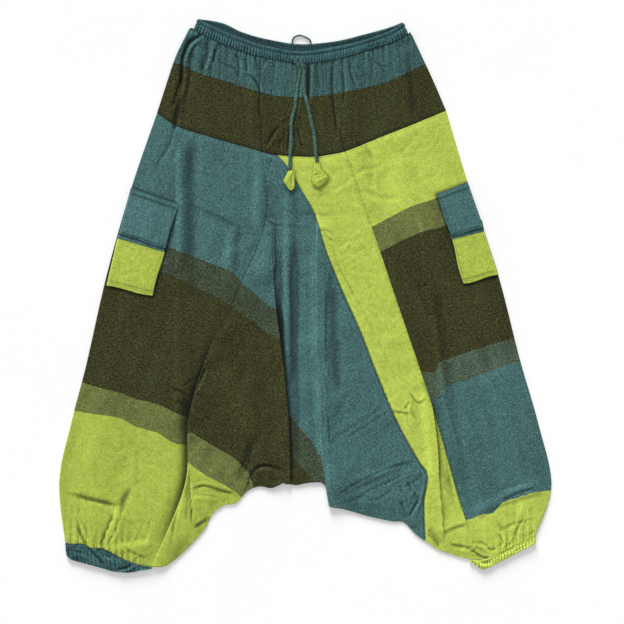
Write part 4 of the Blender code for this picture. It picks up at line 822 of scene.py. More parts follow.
@dataclass(frozen=True)
class Fold:
    """A fold that lies back on itself along the leg: where it opens, is flat, and what it hides."""

    rises: int              # 1 turns up and back, -1 down and back
    opens: float            # section where the cloth starts to turn
    flat: float             # section where it is folded flat
    hides: float            # mm
    arc_steps: int = 8      # straight steps in each arc

    def state(self, section: Array) -> tuple[Array, Array, Array]:
        """Turning angle, hidden length and folded share of the fold at each section.

        Args:
            section: Section numbers down the leg.

        Returns:
            Angles from 0 to pi, lengths in mm, and shares from 0 (flat) to 1 (folded).
        """
        turn = (section - self.opens) / (self.flat - self.opens)
        angle = math.pi * smooth(turn)
        hidden = LEAST_LEG + (self.hides - LEAST_LEG) * smooth(turn * 2 - 1)
        return angle, hidden, (1 - np.cos(angle)) / 2

    def steps(self, section: Array, whole: bool = True) -> tuple[Array, Array]:
        """Steps across a fold seen along the leg: an arc, the hidden leg, an arc back.

        Each step runs by the cosine of its direction and rises by the sine, added up in
        turn.

        Args:
            section: Section numbers down the leg.
            whole: False where the fold starts at a seam, already turned.

        Returns:
            Sums of the runs and of the rises, rows x steps.
        """
        angle, hidden, _ = self.state(section)
        step = np.full_like(angle, FOLD_RADIUS * math.pi / self.arc_steps)
        arc = [(angle * (k + 0.5) / self.arc_steps, step) for k in range(self.arc_steps)]
        parts = (arc if whole else []) + [(angle, hidden / 4)] * 4 + arc[::-1]
        start = [np.zeros_like(angle)]
        run = np.cumsum(start + [length * np.cos(turn) for turn, length in parts], axis=0)
        rise = np.cumsum(start + [self.rises * length * np.sin(turn) for turn, length in parts], axis=0)
        return run.T, rise.T


SEAM_TUCK = Fold(1, 2.2, 3.1, 13.0)
PLEAT = Fold(-1, 0.9, 2.0, 7.0)
RIDGE = Fold(1, 0.6, 1.8, 7.0)


def hidden_seam(section: Array) -> tuple[Array, Array, Array, Array, Array]:
    """The right leg's front seam, which lies under the fold's edge.

    Args:
        section: Section numbers down the leg.

    Returns:
        Its place (x, y), the height of the side panel's edge and of the centre panel's edge
        over it, and the runs and rises of the fold that starts there.
    """
    guide = spline(CENTRE["right_seam"], section)
    angle, _, share = SEAM_TUCK.state(section)
    run, rise = SEAM_TUCK.steps(section, whole=False)
    under = FRONT.middle(guide[:, 0], guide[:, 1]) * (1 - share) + LOW_LAYER * share
    over = under + (LAYER + LAYER_GAP) * smooth(3 * angle / math.pi)
    return np.column_stack([guide[:, 0] - run.min(axis=1), guide[:, 1]]), under, over, run, rise


# ---- finishes
class Dye(Enum):
    """The yarn colours, sRGB 0 to 255."""

    TEAL = (64, 103, 101)
    OLIVE = (51, 56, 25)
    LIME = (177, 194, 79)
    CORD_TEAL = (66, 98, 88)
    TEAL_FLECK = (120, 140, 118)
    OLIVE_FLECK = (94, 93, 56)
    LIME_FLECK = (206, 216, 128)


def linear(colour: Colour) -> tuple[float, float, float, float]:
    """A colour, sRGB 0 to 255, as linear light by the sRGB curve, with alpha 1."""
    values = [c / 255 / 12.92 if c / 255 <= 0.04045 else ((c / 255 + 0.055) / 1.055) ** 2.4 for c in colour]
    return (*values, 1.0)


def blend(first: Colour, second: Colour, share: float) -> Colour:
    """A colour between two others, by the share of the second."""
    return tuple(a + (b - a) * share for a, b in zip(first, second))


@dataclass(frozen=True)
class Band:
    """One woven band: the colours of its weft, its warp and its flecks."""

    weft: Colour
    warp: Colour
    fleck: Colour


LIME_BAND = Band(Dye.LIME.value, (166, 184, 72), Dye.LIME_FLECK.value)
TEAL_BAND = Band(Dye.TEAL.value, (57, 92, 92), Dye.TEAL_FLECK.value)
YOKE_TEAL_BAND = Band((57, 94, 92), (47, 78, 76), (98, 120, 102))
FLAP_BAND = Band((68, 109, 108), (59, 96, 97), Dye.TEAL_FLECK.value)
OLIVE_BAND = Band(Dye.OLIVE.value, (50, 46, 15), Dye.OLIVE_FLECK.value)
TEAL_OLIVE_BAND = Band((60, 76, 59), (50, 57, 38), (104, 110, 72))
LEFT_TEAL_OLIVE_BAND = Band((71, 94, 80), (60, 70, 50), (120, 128, 88))
MUTED_LIME_BAND = Band((163, 181, 72), (153, 170, 62), (192, 203, 114))
OLIVE_LIME_BAND = Band((112, 121, 62), (84, 90, 48), (150, 158, 88))
CASING_BAND = Band((52, 91, 95), (42, 75, 78), (88, 118, 110))
CUFF_TEAL_BAND = Band((54, 91, 92), (44, 76, 77), (90, 118, 108))
CUFF_LIME_BAND = Band((187, 204, 84), (176, 194, 77), Dye.LIME_FLECK.value)
POCKET_LIME_BAND = Band((168, 186, 74), (158, 175, 64), Dye.LIME_FLECK.value)
CORD_BAND = Band(Dye.CORD_TEAL.value, (54, 84, 78), (96, 124, 104))


class Graph:
    """Adds nodes to a material or a node group, and joins them."""

    def __init__(self, tree: bpy.types.NodeTree) -> None:
        """Start on an emptied node tree."""
        self.tree = tree
        tree.nodes.clear()

    def node(self, kind: str, values: dict | None = None, **settings: object) -> bpy.types.Node:
        """Add one node.

        Args:
            kind: The shader node's type.
            values: Input name or number to a value, or to an output to link from.
            settings: The node's own settings.

        Returns:
            The node.
        """
        item = self.tree.nodes.new("ShaderNode" + kind)
        for key, value in settings.items():
            setattr(item, key, value)
        for key, value in (values or {}).items():
            if isinstance(value, Socket):
                self.tree.links.new(value, item.inputs[key])
            else:
                item.inputs[key].default_value = value
        return item

    def math(self, operation: str, *values: object, clamp: bool = False) -> Socket:
        """One Math node's result."""
        return self.node("Math", dict(enumerate(values)), operation=operation, use_clamp=clamp).outputs[0]

    def times(self, first: object, second: object, more: object = 0.0, clamp: bool = False) -> Socket:
        """The product of two values, and more added to it."""
        return self.math("MULTIPLY_ADD", first, second, more, clamp=clamp)

    def mix(self, factor: object, first: object, second: object) -> Socket:
        """Two colours mixed."""
        return self.node("Mix", {0: factor, 6: first, 7: second}, data_type="RGBA").outputs[2]

    def scaled(self, colour: object, share: object) -> Socket:
        """A colour made darker or paler."""
        return self.node("VectorMath", {0: colour, "Scale": share}, operation="SCALE").outputs[0]

    def noise(self, place: object, scale: object, detail: float = 2.0, rough: float = 0.5) -> Socket:
        """A Noise texture's value.

        Args:
            place: A vector, or two coordinates.
            scale: Its scale, or that of each coordinate.
            detail, rough: The texture's own.

        Returns:
            0 to 1.
        """
        if isinstance(scale, tuple):
            axes = {axis: self.times(*pair) for axis, pair in enumerate(zip(place, scale))}
            place, scale = self.node("CombineXYZ", axes).outputs[0], 1.0
        return self.node("TexNoise", {"Vector": place, "Scale": scale, "Detail": detail,
                                      "Roughness": rough}).outputs["Fac"]

    def spread(self, *settings: object) -> Socket:
        """A Noise texture's value less a half."""
        return self.math("SUBTRACT", self.noise(*settings), 0.5)

    def ramp(self, value: object, low: float, high: float, to: tuple[float, float] = (0.0, 1.0)) -> Socket:
        """A value carried smoothly from one range to another, and held at its ends."""
        return self.node("MapRange", {"Value": value, "From Min": low, "From Max": high, "To Min": to[0],
                                      "To Max": to[1]}, interpolation_type="SMOOTHSTEP").outputs["Result"]

    def bump(self, height: Socket, strength: float, distance: float) -> Socket:
        """A Bump node's normal."""
        return self.node("Bump", {"Height": height, "Strength": strength, "Distance": distance}).outputs[0]

    def mark(self, name: str) -> Socket:
        """The value of a mesh's attribute."""
        return self.node("Attribute", attribute_name=name).outputs["Fac"]

    def surface(self, colour: Socket, **values: object) -> None:
        """Add the Principled shader with its inputs, whose spaces are _, and the output."""
        inputs = {label.replace("_", " "): value for label, value in values.items()}
        shader = self.node("BsdfPrincipled", {"Base Color": colour, **inputs})
        self.node("OutputMaterial", {"Surface": shader.outputs["BSDF"]})


def new_material(name: str) -> tuple[bpy.types.Material, Graph]:
    """Start a material with no nodes."""
    item = bpy.data.materials.new(name)
    item.use_nodes = True
    return item, Graph(item.node_tree)


def new_group(name: str, inputs: dict[str, str], outputs: dict[str, str]) -> tuple[Graph, dict, dict]:
    """Start a shader node group.

    Args:
        name: The group's name.
        inputs, outputs: Names and types of its sockets.

    Returns:
        The group's graph, and the sockets in it that give its inputs and take its outputs.
    """
    graph = Graph(bpy.data.node_groups.new(name, "ShaderNodeTree"))
    for way, sockets in (("INPUT", inputs), ("OUTPUT", outputs)):
        for label, kind in sockets.items():
            graph.tree.interface.new_socket(name=label, in_out=way, socket_type="NodeSocket" + kind)
    entry, end = graph.tree.nodes.new("NodeGroupInput"), graph.tree.nodes.new("NodeGroupOutput")
    return (graph, {label: entry.outputs[label] for label in inputs},
            {label: end.inputs[label] for label in outputs})


def weave_group() -> bpy.types.NodeTree:
    """Plain handloom weave: warp and weft threads, slubs, flecks and uneven dye.

    Height is in tenths of a millimetre. The threads are sine waves across the two thread
    coordinates, bent a little by noise; a slub is where stretched noise is high. Paler
    cloth is dyed more evenly, and shows less of its grain. Along thin wrinkle lines the
    colour is darker: painted shade in the wrinkles' valleys.

    Returns:
        The node group.
    """
    g, given, out = new_group(
        "handloom weave", {"Threads": "Vector", "Weft": "Color", "Warp": "Color", "Fleck": "Color",
                           "Flecks": "Float", "Streaks": "Float"},
        {"Color": "Color", "Height": "Float", "Roughness": "Float"})
    threads = given["Threads"]
    apart = g.node("SeparateXYZ", {0: threads})
    bend = g.times(g.spread(threads, 90.0, 1.0), 0.0016)
    uv = [g.math("ADD", apart.outputs[axis], bend) for axis in (0, 1)]
    weave = g.times(*(g.math("SINE", g.times(place, 2 * math.pi / pitch))
                      for place, pitch in zip(uv, (WARP_PITCH, WEFT_PITCH))))
    slub = g.ramp(g.noise(uv, (70.0, 900.0), 1.0), 0.56, 0.72)
    warp_slub = g.ramp(g.noise(uv, (950.0, 60.0), 1.0), 0.60, 0.74)
    streak = g.spread(uv, (55.0, 380.0), 3.0, 0.65)
    speckle = g.spread(uv, (330.0, 430.0), 2.0, 0.7)
    cloud = g.spread(uv, (24.0, 6.0), 3.0, 0.6)
    mottle = g.spread(threads, 110.0, 3.0, 0.62)
    grain = g.spread(threads, 330.0, 1.0, 0.5)
    fleck = g.ramp(g.noise(uv, (190.0, 640.0), 0.0), 0.60, 0.78)
    wrinkle = g.times(g.ramp(g.math("ABSOLUTE", g.spread(threads, 62.0, 2.0, 0.6)), 0.035, 0.0),
                      g.ramp(g.noise(threads, 31.0, 1.0), 0.42, 0.62))
    share = g.times(streak, given["Streaks"], g.times(weave, 0.22, 0.5))
    share = g.times(speckle, 2.4, g.times(cloud, 1.7, share), clamp=True)
    colour = g.mix(share, given["Warp"], given["Weft"])
    colour = g.mix(g.times(fleck, given["Flecks"]), colour, given["Fleck"])
    paleness = g.node("RGBToBW", {0: given["Weft"]}).outputs[0]
    evenness = g.times(paleness, -0.55, 0.80)
    shade = g.times(grain, g.math("MAXIMUM", g.times(paleness, -20.0, 4.3), 0.5), 1.0)
    height = g.times(weave, 0.55, g.times(slub, 1.5))
    # The wrinkle lines darken the colour: painted shade in their valleys.
    for part, dark in ((mottle, evenness), (cloud, g.times(paleness, -0.9, 0.62)), (speckle, evenness),
                       (slub, 0.10), (wrinkle, -0.10)):
        shade = g.times(part, dark, shade)
    for part, rise in ((warp_slub, 0.9), (mottle, 3.2), (speckle, 1.4), (wrinkle, -2.6)):
        height = g.times(part, rise, height)
    rough = g.times(speckle, 0.25, 0.90, clamp=True)
    for label, value in (("Color", g.scaled(colour, shade)), ("Height", height), ("Roughness", rough)):
        g.tree.links.new(value, out[label])
    return g.tree


def crease_group() -> bpy.types.NodeTree:
    """Painted shade down in creases and seams, and a painted highlight on ridges.

    The colour is multiplied by 0.36 to the power of the depth, where a ridge's depth is
    negative and counts only for a share that the finish gives for the ridges' painted highlight.

    Returns:
        The node group.
    """
    g, given, out = new_group("painted crease shade", {"Color": "Color", "Depth": "Float", "Ridge highlight": "Float"},
                              {"Color": "Color"})
    depth = g.math("MAXIMUM", given["Depth"], g.times(given["Depth"], given["Ridge highlight"]))
    g.tree.links.new(g.scaled(given["Color"], g.math("POWER", 0.36, depth)), out["Color"])
    return g.tree


@dataclass(frozen=True)
class ClothFinish:
    """One cloth: its bands along the "band" attribute, and how it looks and feels.

    Each stop of bands is the place where a band starts. Where beyond is set, the points
    with a positive "beyond" attribute, past a sewn seam, have that colour.
    """

    name: str
    bands: tuple[tuple[float, Band], ...]
    beyond: Band | None = None
    fleck_amount: float = 0.38
    streaks: float = 1.6
    relief: float = 0.9
    sheen: float = 0.06
    # share of the depth mark that brightens ridges: a painted highlight
    ridge_highlight: float = 0.3

    def picked(self, g: Graph, part: str) -> object:
        """The colour of one part of the band that each point lies in.

        Args:
            g: The material's graph.
            part: "weft", "warp" or "fleck".

        Returns:
            A colour, or the socket that gives it.
        """
        colours = [linear(getattr(band, part)) for _, band in self.bands]
        if len(colours) == 1:
            return colours[0]
        ramp = g.node("ValToRGB", {"Fac": g.math("DIVIDE", g.mark("band"), BAND_COUNT)})
        ramp.color_ramp.interpolation = "CONSTANT"
        stops = ramp.color_ramp.elements
        while len(stops) < len(colours):
            stops.new(0.5)
        for stop, (start, _), colour in zip(stops, self.bands, colours):
            stop.position, stop.color = start / BAND_COUNT, colour
        if self.beyond is None:
            return ramp.outputs["Color"]
        past = g.math("GREATER_THAN", g.mark("beyond"), 0.0)
        return g.mix(past, ramp.outputs["Color"], linear(getattr(self.beyond, part)))

    def material(self, groups: dict[str, bpy.types.NodeTree]) -> bpy.types.Material:
        """The finish as a material.

        Args:
            groups: The shared node groups by name.

        Returns:
            The material.
        """
        item, g = new_material(self.name)
        weave = g.node("Group", {
            "Threads": g.node("UVMap", uv_map="threads").outputs["UV"], "Weft": self.picked(g, "weft"),
            "Warp": self.picked(g, "warp"), "Fleck": self.picked(g, "fleck"), "Flecks": self.fleck_amount,
            "Streaks": self.streaks}, node_tree=groups["weave"]).outputs
        # The depth mark darkens the colour in creases and seams, painted shade, and brightens ridges, painted
        # highlight.
        painted_shading = g.node("Group", {"Color": weave["Color"], "Depth": g.mark("depth"), "Ridge highlight": self.ridge_highlight},
                      node_tree=groups["crease"])
        g.surface(painted_shading.outputs["Color"], Roughness=weave["Roughness"], Metallic=0.0, Sheen_Weight=self.sheen,
                  Normal=g.bump(weave["Height"], self.relief, 0.0001), Sheen_Roughness=0.6,
                  Specular_IOR_Level=0.15)
        return item


@dataclass(frozen=True)
class ThreadFinish:
    """Sewing thread: two plies twisted together, seen as fine slanting lines."""

    name: str
    colour: Colour

    def material(self, groups: dict[str, bpy.types.NodeTree]) -> bpy.types.Material:
        """The finish as a material.

        Args:
            groups: The shared node groups by name, of which it needs none.

        Returns:
            The material.
        """
        item, g = new_material(self.name)
        twist = g.noise(g.node("TexCoord").outputs["Object"], 2600.0, 1.0)
        dark, pale = (linear(blend(self.colour, (level,) * 3, share)) for level, share in ((0, 0.25), (255, 0.12)))
        g.surface(g.mix(twist, dark, pale), Roughness=g.ramp(twist, 0.2, 0.8, (0.85, 0.65)),
                  Normal=g.bump(twist, 0.5, 0.0002), Metallic=0.0, Specular_IOR_Level=0.2)
        return item


RIGHT_LEG_FINISH = ClothFinish("striped cotton, right leg", (
    (0, TEAL_BAND), (2, TEAL_OLIVE_BAND), (3, OLIVE_BAND), (4, OLIVE_LIME_BAND), (5, MUTED_LIME_BAND)))
LEFT_LEG_FINISH = ClothFinish("striped cotton, left leg", (
    (0, LIME_BAND), (2, OLIVE_LIME_BAND), (3, OLIVE_BAND), (4, LEFT_TEAL_OLIVE_BAND), (5, TEAL_BAND),
    (6, LIME_BAND)))
CENTRE_FINISH = ClothFinish("striped cotton, centre", RIGHT_LEG_FINISH.bands, beyond=LIME_BAND)
YOKE_FINISH = ClothFinish("striped cotton, yoke", ((0, YOKE_TEAL_BAND), (2, OLIVE_BAND)))
CASING_FINISH = ClothFinish("teal cotton, casing", ((0, CASING_BAND),), fleck_amount=0.35, streaks=0.8)
CUFF_TEAL_FINISH = ClothFinish("teal cotton, cuff", ((0, CUFF_TEAL_BAND),), fleck_amount=0.35, streaks=0.8)
CUFF_LIME_FINISH = ClothFinish("lime cotton, cuff", ((0, CUFF_LIME_BAND),), streaks=0.8)
FLAP_FINISH = ClothFinish("teal cotton, pocket", ((0, FLAP_BAND),))
LIME_FINISH = ClothFinish("lime cotton, pocket", ((0, POCKET_LIME_BAND),))
CORD_FINISH = ClothFinish("teal cotton, cord", ((0, CORD_BAND),), fleck_amount=0.3, streaks=0.8)
DARK_THREAD = ThreadFinish("dark thread", (36, 46, 38))
TEAL_THREAD = ThreadFinish("teal thread", (44, 70, 70))
LIME_THREAD = ThreadFinish("lime thread", (150, 168, 62))


# ---- making meshes
@dataclass
class ClothGrid:
    """A sheet of cloth before it becomes a mesh: points, thread coordinates and marks."""

    points: Array
    threads: Array
    marks: dict[str, Array] = field(default_factory=dict)

    def mark_painted_shade(self, columns: slice, sewn: tuple[bool, bool, bool, bool],
                   seam: float | Array = 0.75, folds: float = 0.0) -> None:
        """Set the "depth" mark: how far each point lies down in a crease or a seam.

        It is painted shade: the blurred cloth's height less the point's own, at two sizes of
        blur, with a narrow bell curve at the sewn edges, and on the front a share of the folds'
        depth, the painted shadows beside the drawstring's ends, the tips and the pockets, and the
        laps' shade. Where it is negative, on ridges, it paints a highlight.

        Args:
            columns: The columns that lie on top.
            sewn: Whether the first and last column, and the first and last row, are sewn.
            seam: How dark the painted shade at a seam is.
            folds: Shade for each mm that the front's folds sink.
        """
        top = self.points[:, columns, 2]
        depth = np.zeros(self.points.shape[:2])
        depth[:, columns] = sum(share * (blurred(top, times) - top) for share, times in CREASE_BLURS)
        if folds:
            x, y = self.points[:, columns, 0], self.points[:, columns, 1]
            broad, sharp = FRONT.broad_folds(x, y), FRONT.creases(x, y)
            depth[:, columns] += (
                0.6 * FRONT.contact(x, y) - folds * broad * (1 + 1.2 * (broad > 0))
                + 0.7 * np.maximum(-1.3 - sharp, 0) - 0.2 * folds * sharp * np.abs(sharp)
                - FRONT.laps(x, y, shade=True))
        across, down = travelled(self.points, 1), travelled(self.points)
        edges = (across, across[:, -1:] - across, down, down[-1:] - down)
        away = np.min([distance for is_sewn, distance in zip(sewn, edges) if is_sewn], axis=0)
        self.marks["depth"] = np.clip(depth, *DEPTH_LIMITS) + seam * bell(away, SEAM_SHADE_WIDTH)


def new_object(name: str, points: Array, faces: Array, material: bpy.types.Material,
               marks: dict[str, Array] | None = None, threads: Array | None = None) -> bpy.types.Object:
    """A mesh object from whole arrays.

    Args:
        name: The piece's name.
        points: n x 3, mm.
        faces: m x 4 corner numbers; a triangle repeats its last corner.
        material: The piece's material.
        marks: Attributes, one number for each point.
        threads: Thread coordinates, n x 2, metres.

    Returns:
        The linked object.
    """
    mesh = bpy.data.meshes.new(name)
    corners = [row[:3] if row[2] == row[3] else row for row in faces.tolist()]
    mesh.from_pydata((points * MM).tolist(), [], corners)
    mesh.shade_smooth()
    for label, values in (marks or {}).items():
        mesh.attributes.new(label, "FLOAT", "POINT").data.foreach_set("value", values.ravel())
    if threads is not None:
        corner = np.empty(len(mesh.loops), np.int32)
        mesh.loops.foreach_get("vertex_index", corner)
        layer = mesh.uv_layers.new(name="threads")
        layer.data.foreach_set("uv", threads.reshape(-1, 2)[corner].ravel())
    mesh.materials.append(material)
    return linked(bpy.data.objects.new(name, mesh))


def linked(item: bpy.types.Object) -> bpy.types.Object:
    """The object, put into the scene."""
    bpy.context.scene.collection.objects.link(item)
    return item


def grid_faces(rows: int, columns: int, round_rows: bool = False, round_columns: bool = False) -> Array:
    """Corner numbers of a grid's faces, wound so that they look up where x and -y grow.

    Args:
        rows, columns: How many points.
        round_rows, round_columns: True where the last one joins the first.

    Returns:
        m x 4 corner numbers.
    """
    corner = np.pad(np.arange(rows * columns).reshape(rows, columns),
                    ((0, round_rows), (0, round_columns)), mode="wrap")
    faces = np.stack([corner[1:, :-1], corner[1:, 1:], corner[:-1, 1:], corner[:-1, :-1]], axis=-1)
    return faces.reshape(-1, 4)


def tube_faces(count: int, ring: int) -> Array:
    """Faces of a tube that goes ring by ring, with a fan over each end from a point of its own.

    Args:
        count: Points in the tube; the two middles of its ends come after them.
        ring: Points in a ring.

    Returns:
        m x 4 corner numbers.
    """
    here, following = np.arange(ring), (np.arange(ring) + 1) % ring
    first, last, tail = np.full(ring, count), np.full(ring, count + 1), count - ring
    return np.concatenate([
        grid_faces(count // ring, ring, round_columns=True),
        np.stack([here, following, first, first], axis=1),
        np.stack([tail + following, tail + here, last, last], axis=1)])


def capped(rings: Array, depth: Array, threads: Array) -> tuple[Array, Array, dict[str, Array], Array]:
    """Close the two ends of a tube with a point each.

    Args:
        rings: Rings x points in a ring x 3, mm.
        depth: The "depth" mark of each point, its painted shade.
        threads: Thread coordinates of each point.

    Returns:
        Points, faces, marks and thread coordinates of the closed tube.
    """
    count, ring, _ = rings.shape
    points = np.concatenate([rings.reshape(-1, 3), rings[[0, -1]].mean(axis=1)])
    depth = np.concatenate([depth.ravel(), depth.ravel()[[0, -1]]])
    threads = np.concatenate([threads.reshape(-1, 2), threads.reshape(-1, 2)[[0, -1]]])
    return points, tube_faces(count * ring, ring), {"depth": depth}, threads


@dataclass(frozen=True)
class Cut:
    """A sheet's flat size in metres, its flat area, and how it lies."""

    width: float
    length: float
    area: float | None = None
    held: str = "laid"


class Wardrobe:
    """Makes the pieces, gives them their materials and ties them to the frame."""

    def __init__(self) -> None:
        """Build the shared node groups; materials are made when first asked for."""
        self.groups = {"weave": weave_group(), "crease": crease_group()}
        self.made: dict[str, bpy.types.Material] = {}

    def solid(self, name: str, points: Array, faces: Array, finish: ClothFinish | ThreadFinish,
              slot: str, nodes: tuple[str, ...] = (), marks: dict[str, Array] | None = None,
              threads: Array | None = None) -> bpy.types.Object:
        """One piece that rides on the garment, in place of its CAD nodes.

        Args:
            name: The piece's name.
            points: n x 3, mm.
            faces: m x 4 corner numbers.
            finish: Its finish.
            slot: Its material slot; not used.
            nodes: The CAD nodes that it replaces.
            marks, threads: Attributes and thread coordinates for each point.

        Returns:
            The piece.
        """
        if finish.name not in self.made:
            self.made[finish.name] = finish.material(self.groups)
        item = new_object(name, points, faces, self.made[finish.name], marks, threads)
        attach(item, "root")
        if nodes:
            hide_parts(*nodes)
        LOG.info("%s: %d points%s", name, len(points), f", in place of {', '.join(nodes)}" if nodes else "")
        return item

    def sheet(self, name: str, grid: ClothGrid, finish: ClothFinish, slot: str, node: str, cut: Cut) -> None:
        """One piece of cloth: the grid's open surface, made a wall by Solidify.

        Args:
            name: The piece's name.
            grid: Its middle surface.
            finish: Its cloth.
            slot: Its material slot.
            node: The CAD node that it replaces.
            cut: How it was cut, and how it lies; not used.
        """
        item = self.solid(name, grid.points.reshape(-1, 3), grid_faces(*grid.points.shape[:2]), finish, slot,
                          (node,), grid.marks, grid.threads)
        shell = item.modifiers.new("wall", "SOLIDIFY")
        shell.thickness, shell.offset = WALL * MM, 0.0


# ---- the studio
@dataclass(frozen=True)
class Light:
    """A lamp far away: turned from the waist's side towards the right leg, and how high."""

    name: str
    bearing: float          # degrees
    elevation: float
    strength: float
    softness: float         # how wide it looks, degrees
    shadow: bool


@dataclass(frozen=True)
class Studio:
    """Pale floor, soft light from the waist's side, and a camera straight above."""

    frame_width: float = 1.0920     # metres across the picture, on the floor
    centre: tuple[float, float] = (0.01225, -0.028)
    camera_height: float = 4.0
    sensor: float = 36.0
    floor_size: float = 8.0
    world_strength: float = 0.45
    lights: tuple[Light, ...] = (Light("waist light", 10.0, 18.0, 4.35, 24.0, True),
                                 Light("side light", 88.0, 22.0, 1.84, 30.0, False))

    def build(self) -> None:
        """Make the camera, the lights, the world and the floor."""
        camera = bpy.data.cameras.new("camera")
        camera.sensor_width, camera.clip_end = self.sensor, 50.0
        camera.lens = self.sensor * self.camera_height / self.frame_width
        item = linked(bpy.data.objects.new("camera", camera))
        item.location = (*self.centre, self.camera_height)
        bpy.context.scene.camera = item
        for lamp in self.lights:
            light = bpy.data.lights.new(lamp.name, "SUN")
            light.energy, light.use_shadow = lamp.strength, lamp.shadow
            light.angle = math.radians(lamp.softness)
            item = linked(bpy.data.objects.new(lamp.name, light))
            item.location = (0.0, 0.0, 2.0)
            item.rotation_euler = (math.radians(lamp.elevation - 90), 0.0, math.radians(lamp.bearing))
        world = bpy.data.worlds.new("studio")
        world.use_nodes = True
        background = world.node_tree.nodes["Background"]
        background.inputs["Color"].default_value = (1.0, 1.0, 1.0, 1.0)
        background.inputs["Strength"].default_value = self.world_strength
        bpy.context.scene.world = world
        bpy.context.scene.view_settings.view_transform = "Standard"
        self.floor()

    def floor(self, steps: int = 5) -> None:
        """Make the floor, a plane just under the garment, with a faintly uneven white.

        Args:
            steps: Points along a side.
        """
        side = np.linspace(-1, 1, steps) * self.floor_size / 2 / MM
        x, y = np.meshgrid(side, side[::-1])
        points = np.stack([x, y, np.full_like(x, -0.1)], axis=-1).reshape(-1, 3)
        item, g = new_material("floor white")
        noise = g.noise(g.node("TexCoord").outputs["Object"], 3.0)
        g.surface(g.mix(noise, (0.90, 0.90, 0.90, 1), (0.915, 0.915, 0.915, 1)), Roughness=0.9,
                  Specular_IOR_Level=0.1)
        new_object("floor", points, grid_faces(steps, steps), item)


# ---- drawstring, loop
def tube(path: Array, half_width: Array | float, half_height: Array | float, around: int = 14
         ) -> tuple[Array, Array, dict[str, Array], Array]:
    """A closed tube of oval section along a path.

    The section lies across the path: half the width sideways times the cosine, and half
    the height upwards times the sine, all round.

    Args:
        path: n x 3, mm.
        half_width, half_height: Sideways and upwards, mm, also point by point.
        around: Points in a section.

    Returns:
        Points, faces, marks and thread coordinates, with both ends closed.
    """
    ahead = np.gradient(path, axis=0)
    ahead /= np.linalg.norm(ahead, axis=1, keepdims=True)
    sideways = np.cross(ahead, (0.0, 0.0, 1.0))
    sideways /= np.linalg.norm(sideways, axis=1, keepdims=True)
    upward = np.cross(sideways, ahead)
    angle = np.linspace(0, 2 * math.pi, around, endpoint=False)
    wide, high = (np.broadcast_to(half, len(path))[:, None, None] for half in (half_width, half_height))
    rings = (path[:, None] + sideways[:, None] * np.cos(angle)[None, :, None] * wide
             + upward[:, None] * np.sin(angle)[None, :, None] * high)
    ones = np.ones(rings.shape[:2])
    threads = np.stack([travelled(path)[:, None] * ones, angle * 2.2 * ones], axis=-1) * MM
    # The lower half of each ring is darker: painted shade on the underside.
    return capped(rings, 0.5 * np.maximum(-np.sin(angle), 0) ** 2 * ones, threads)


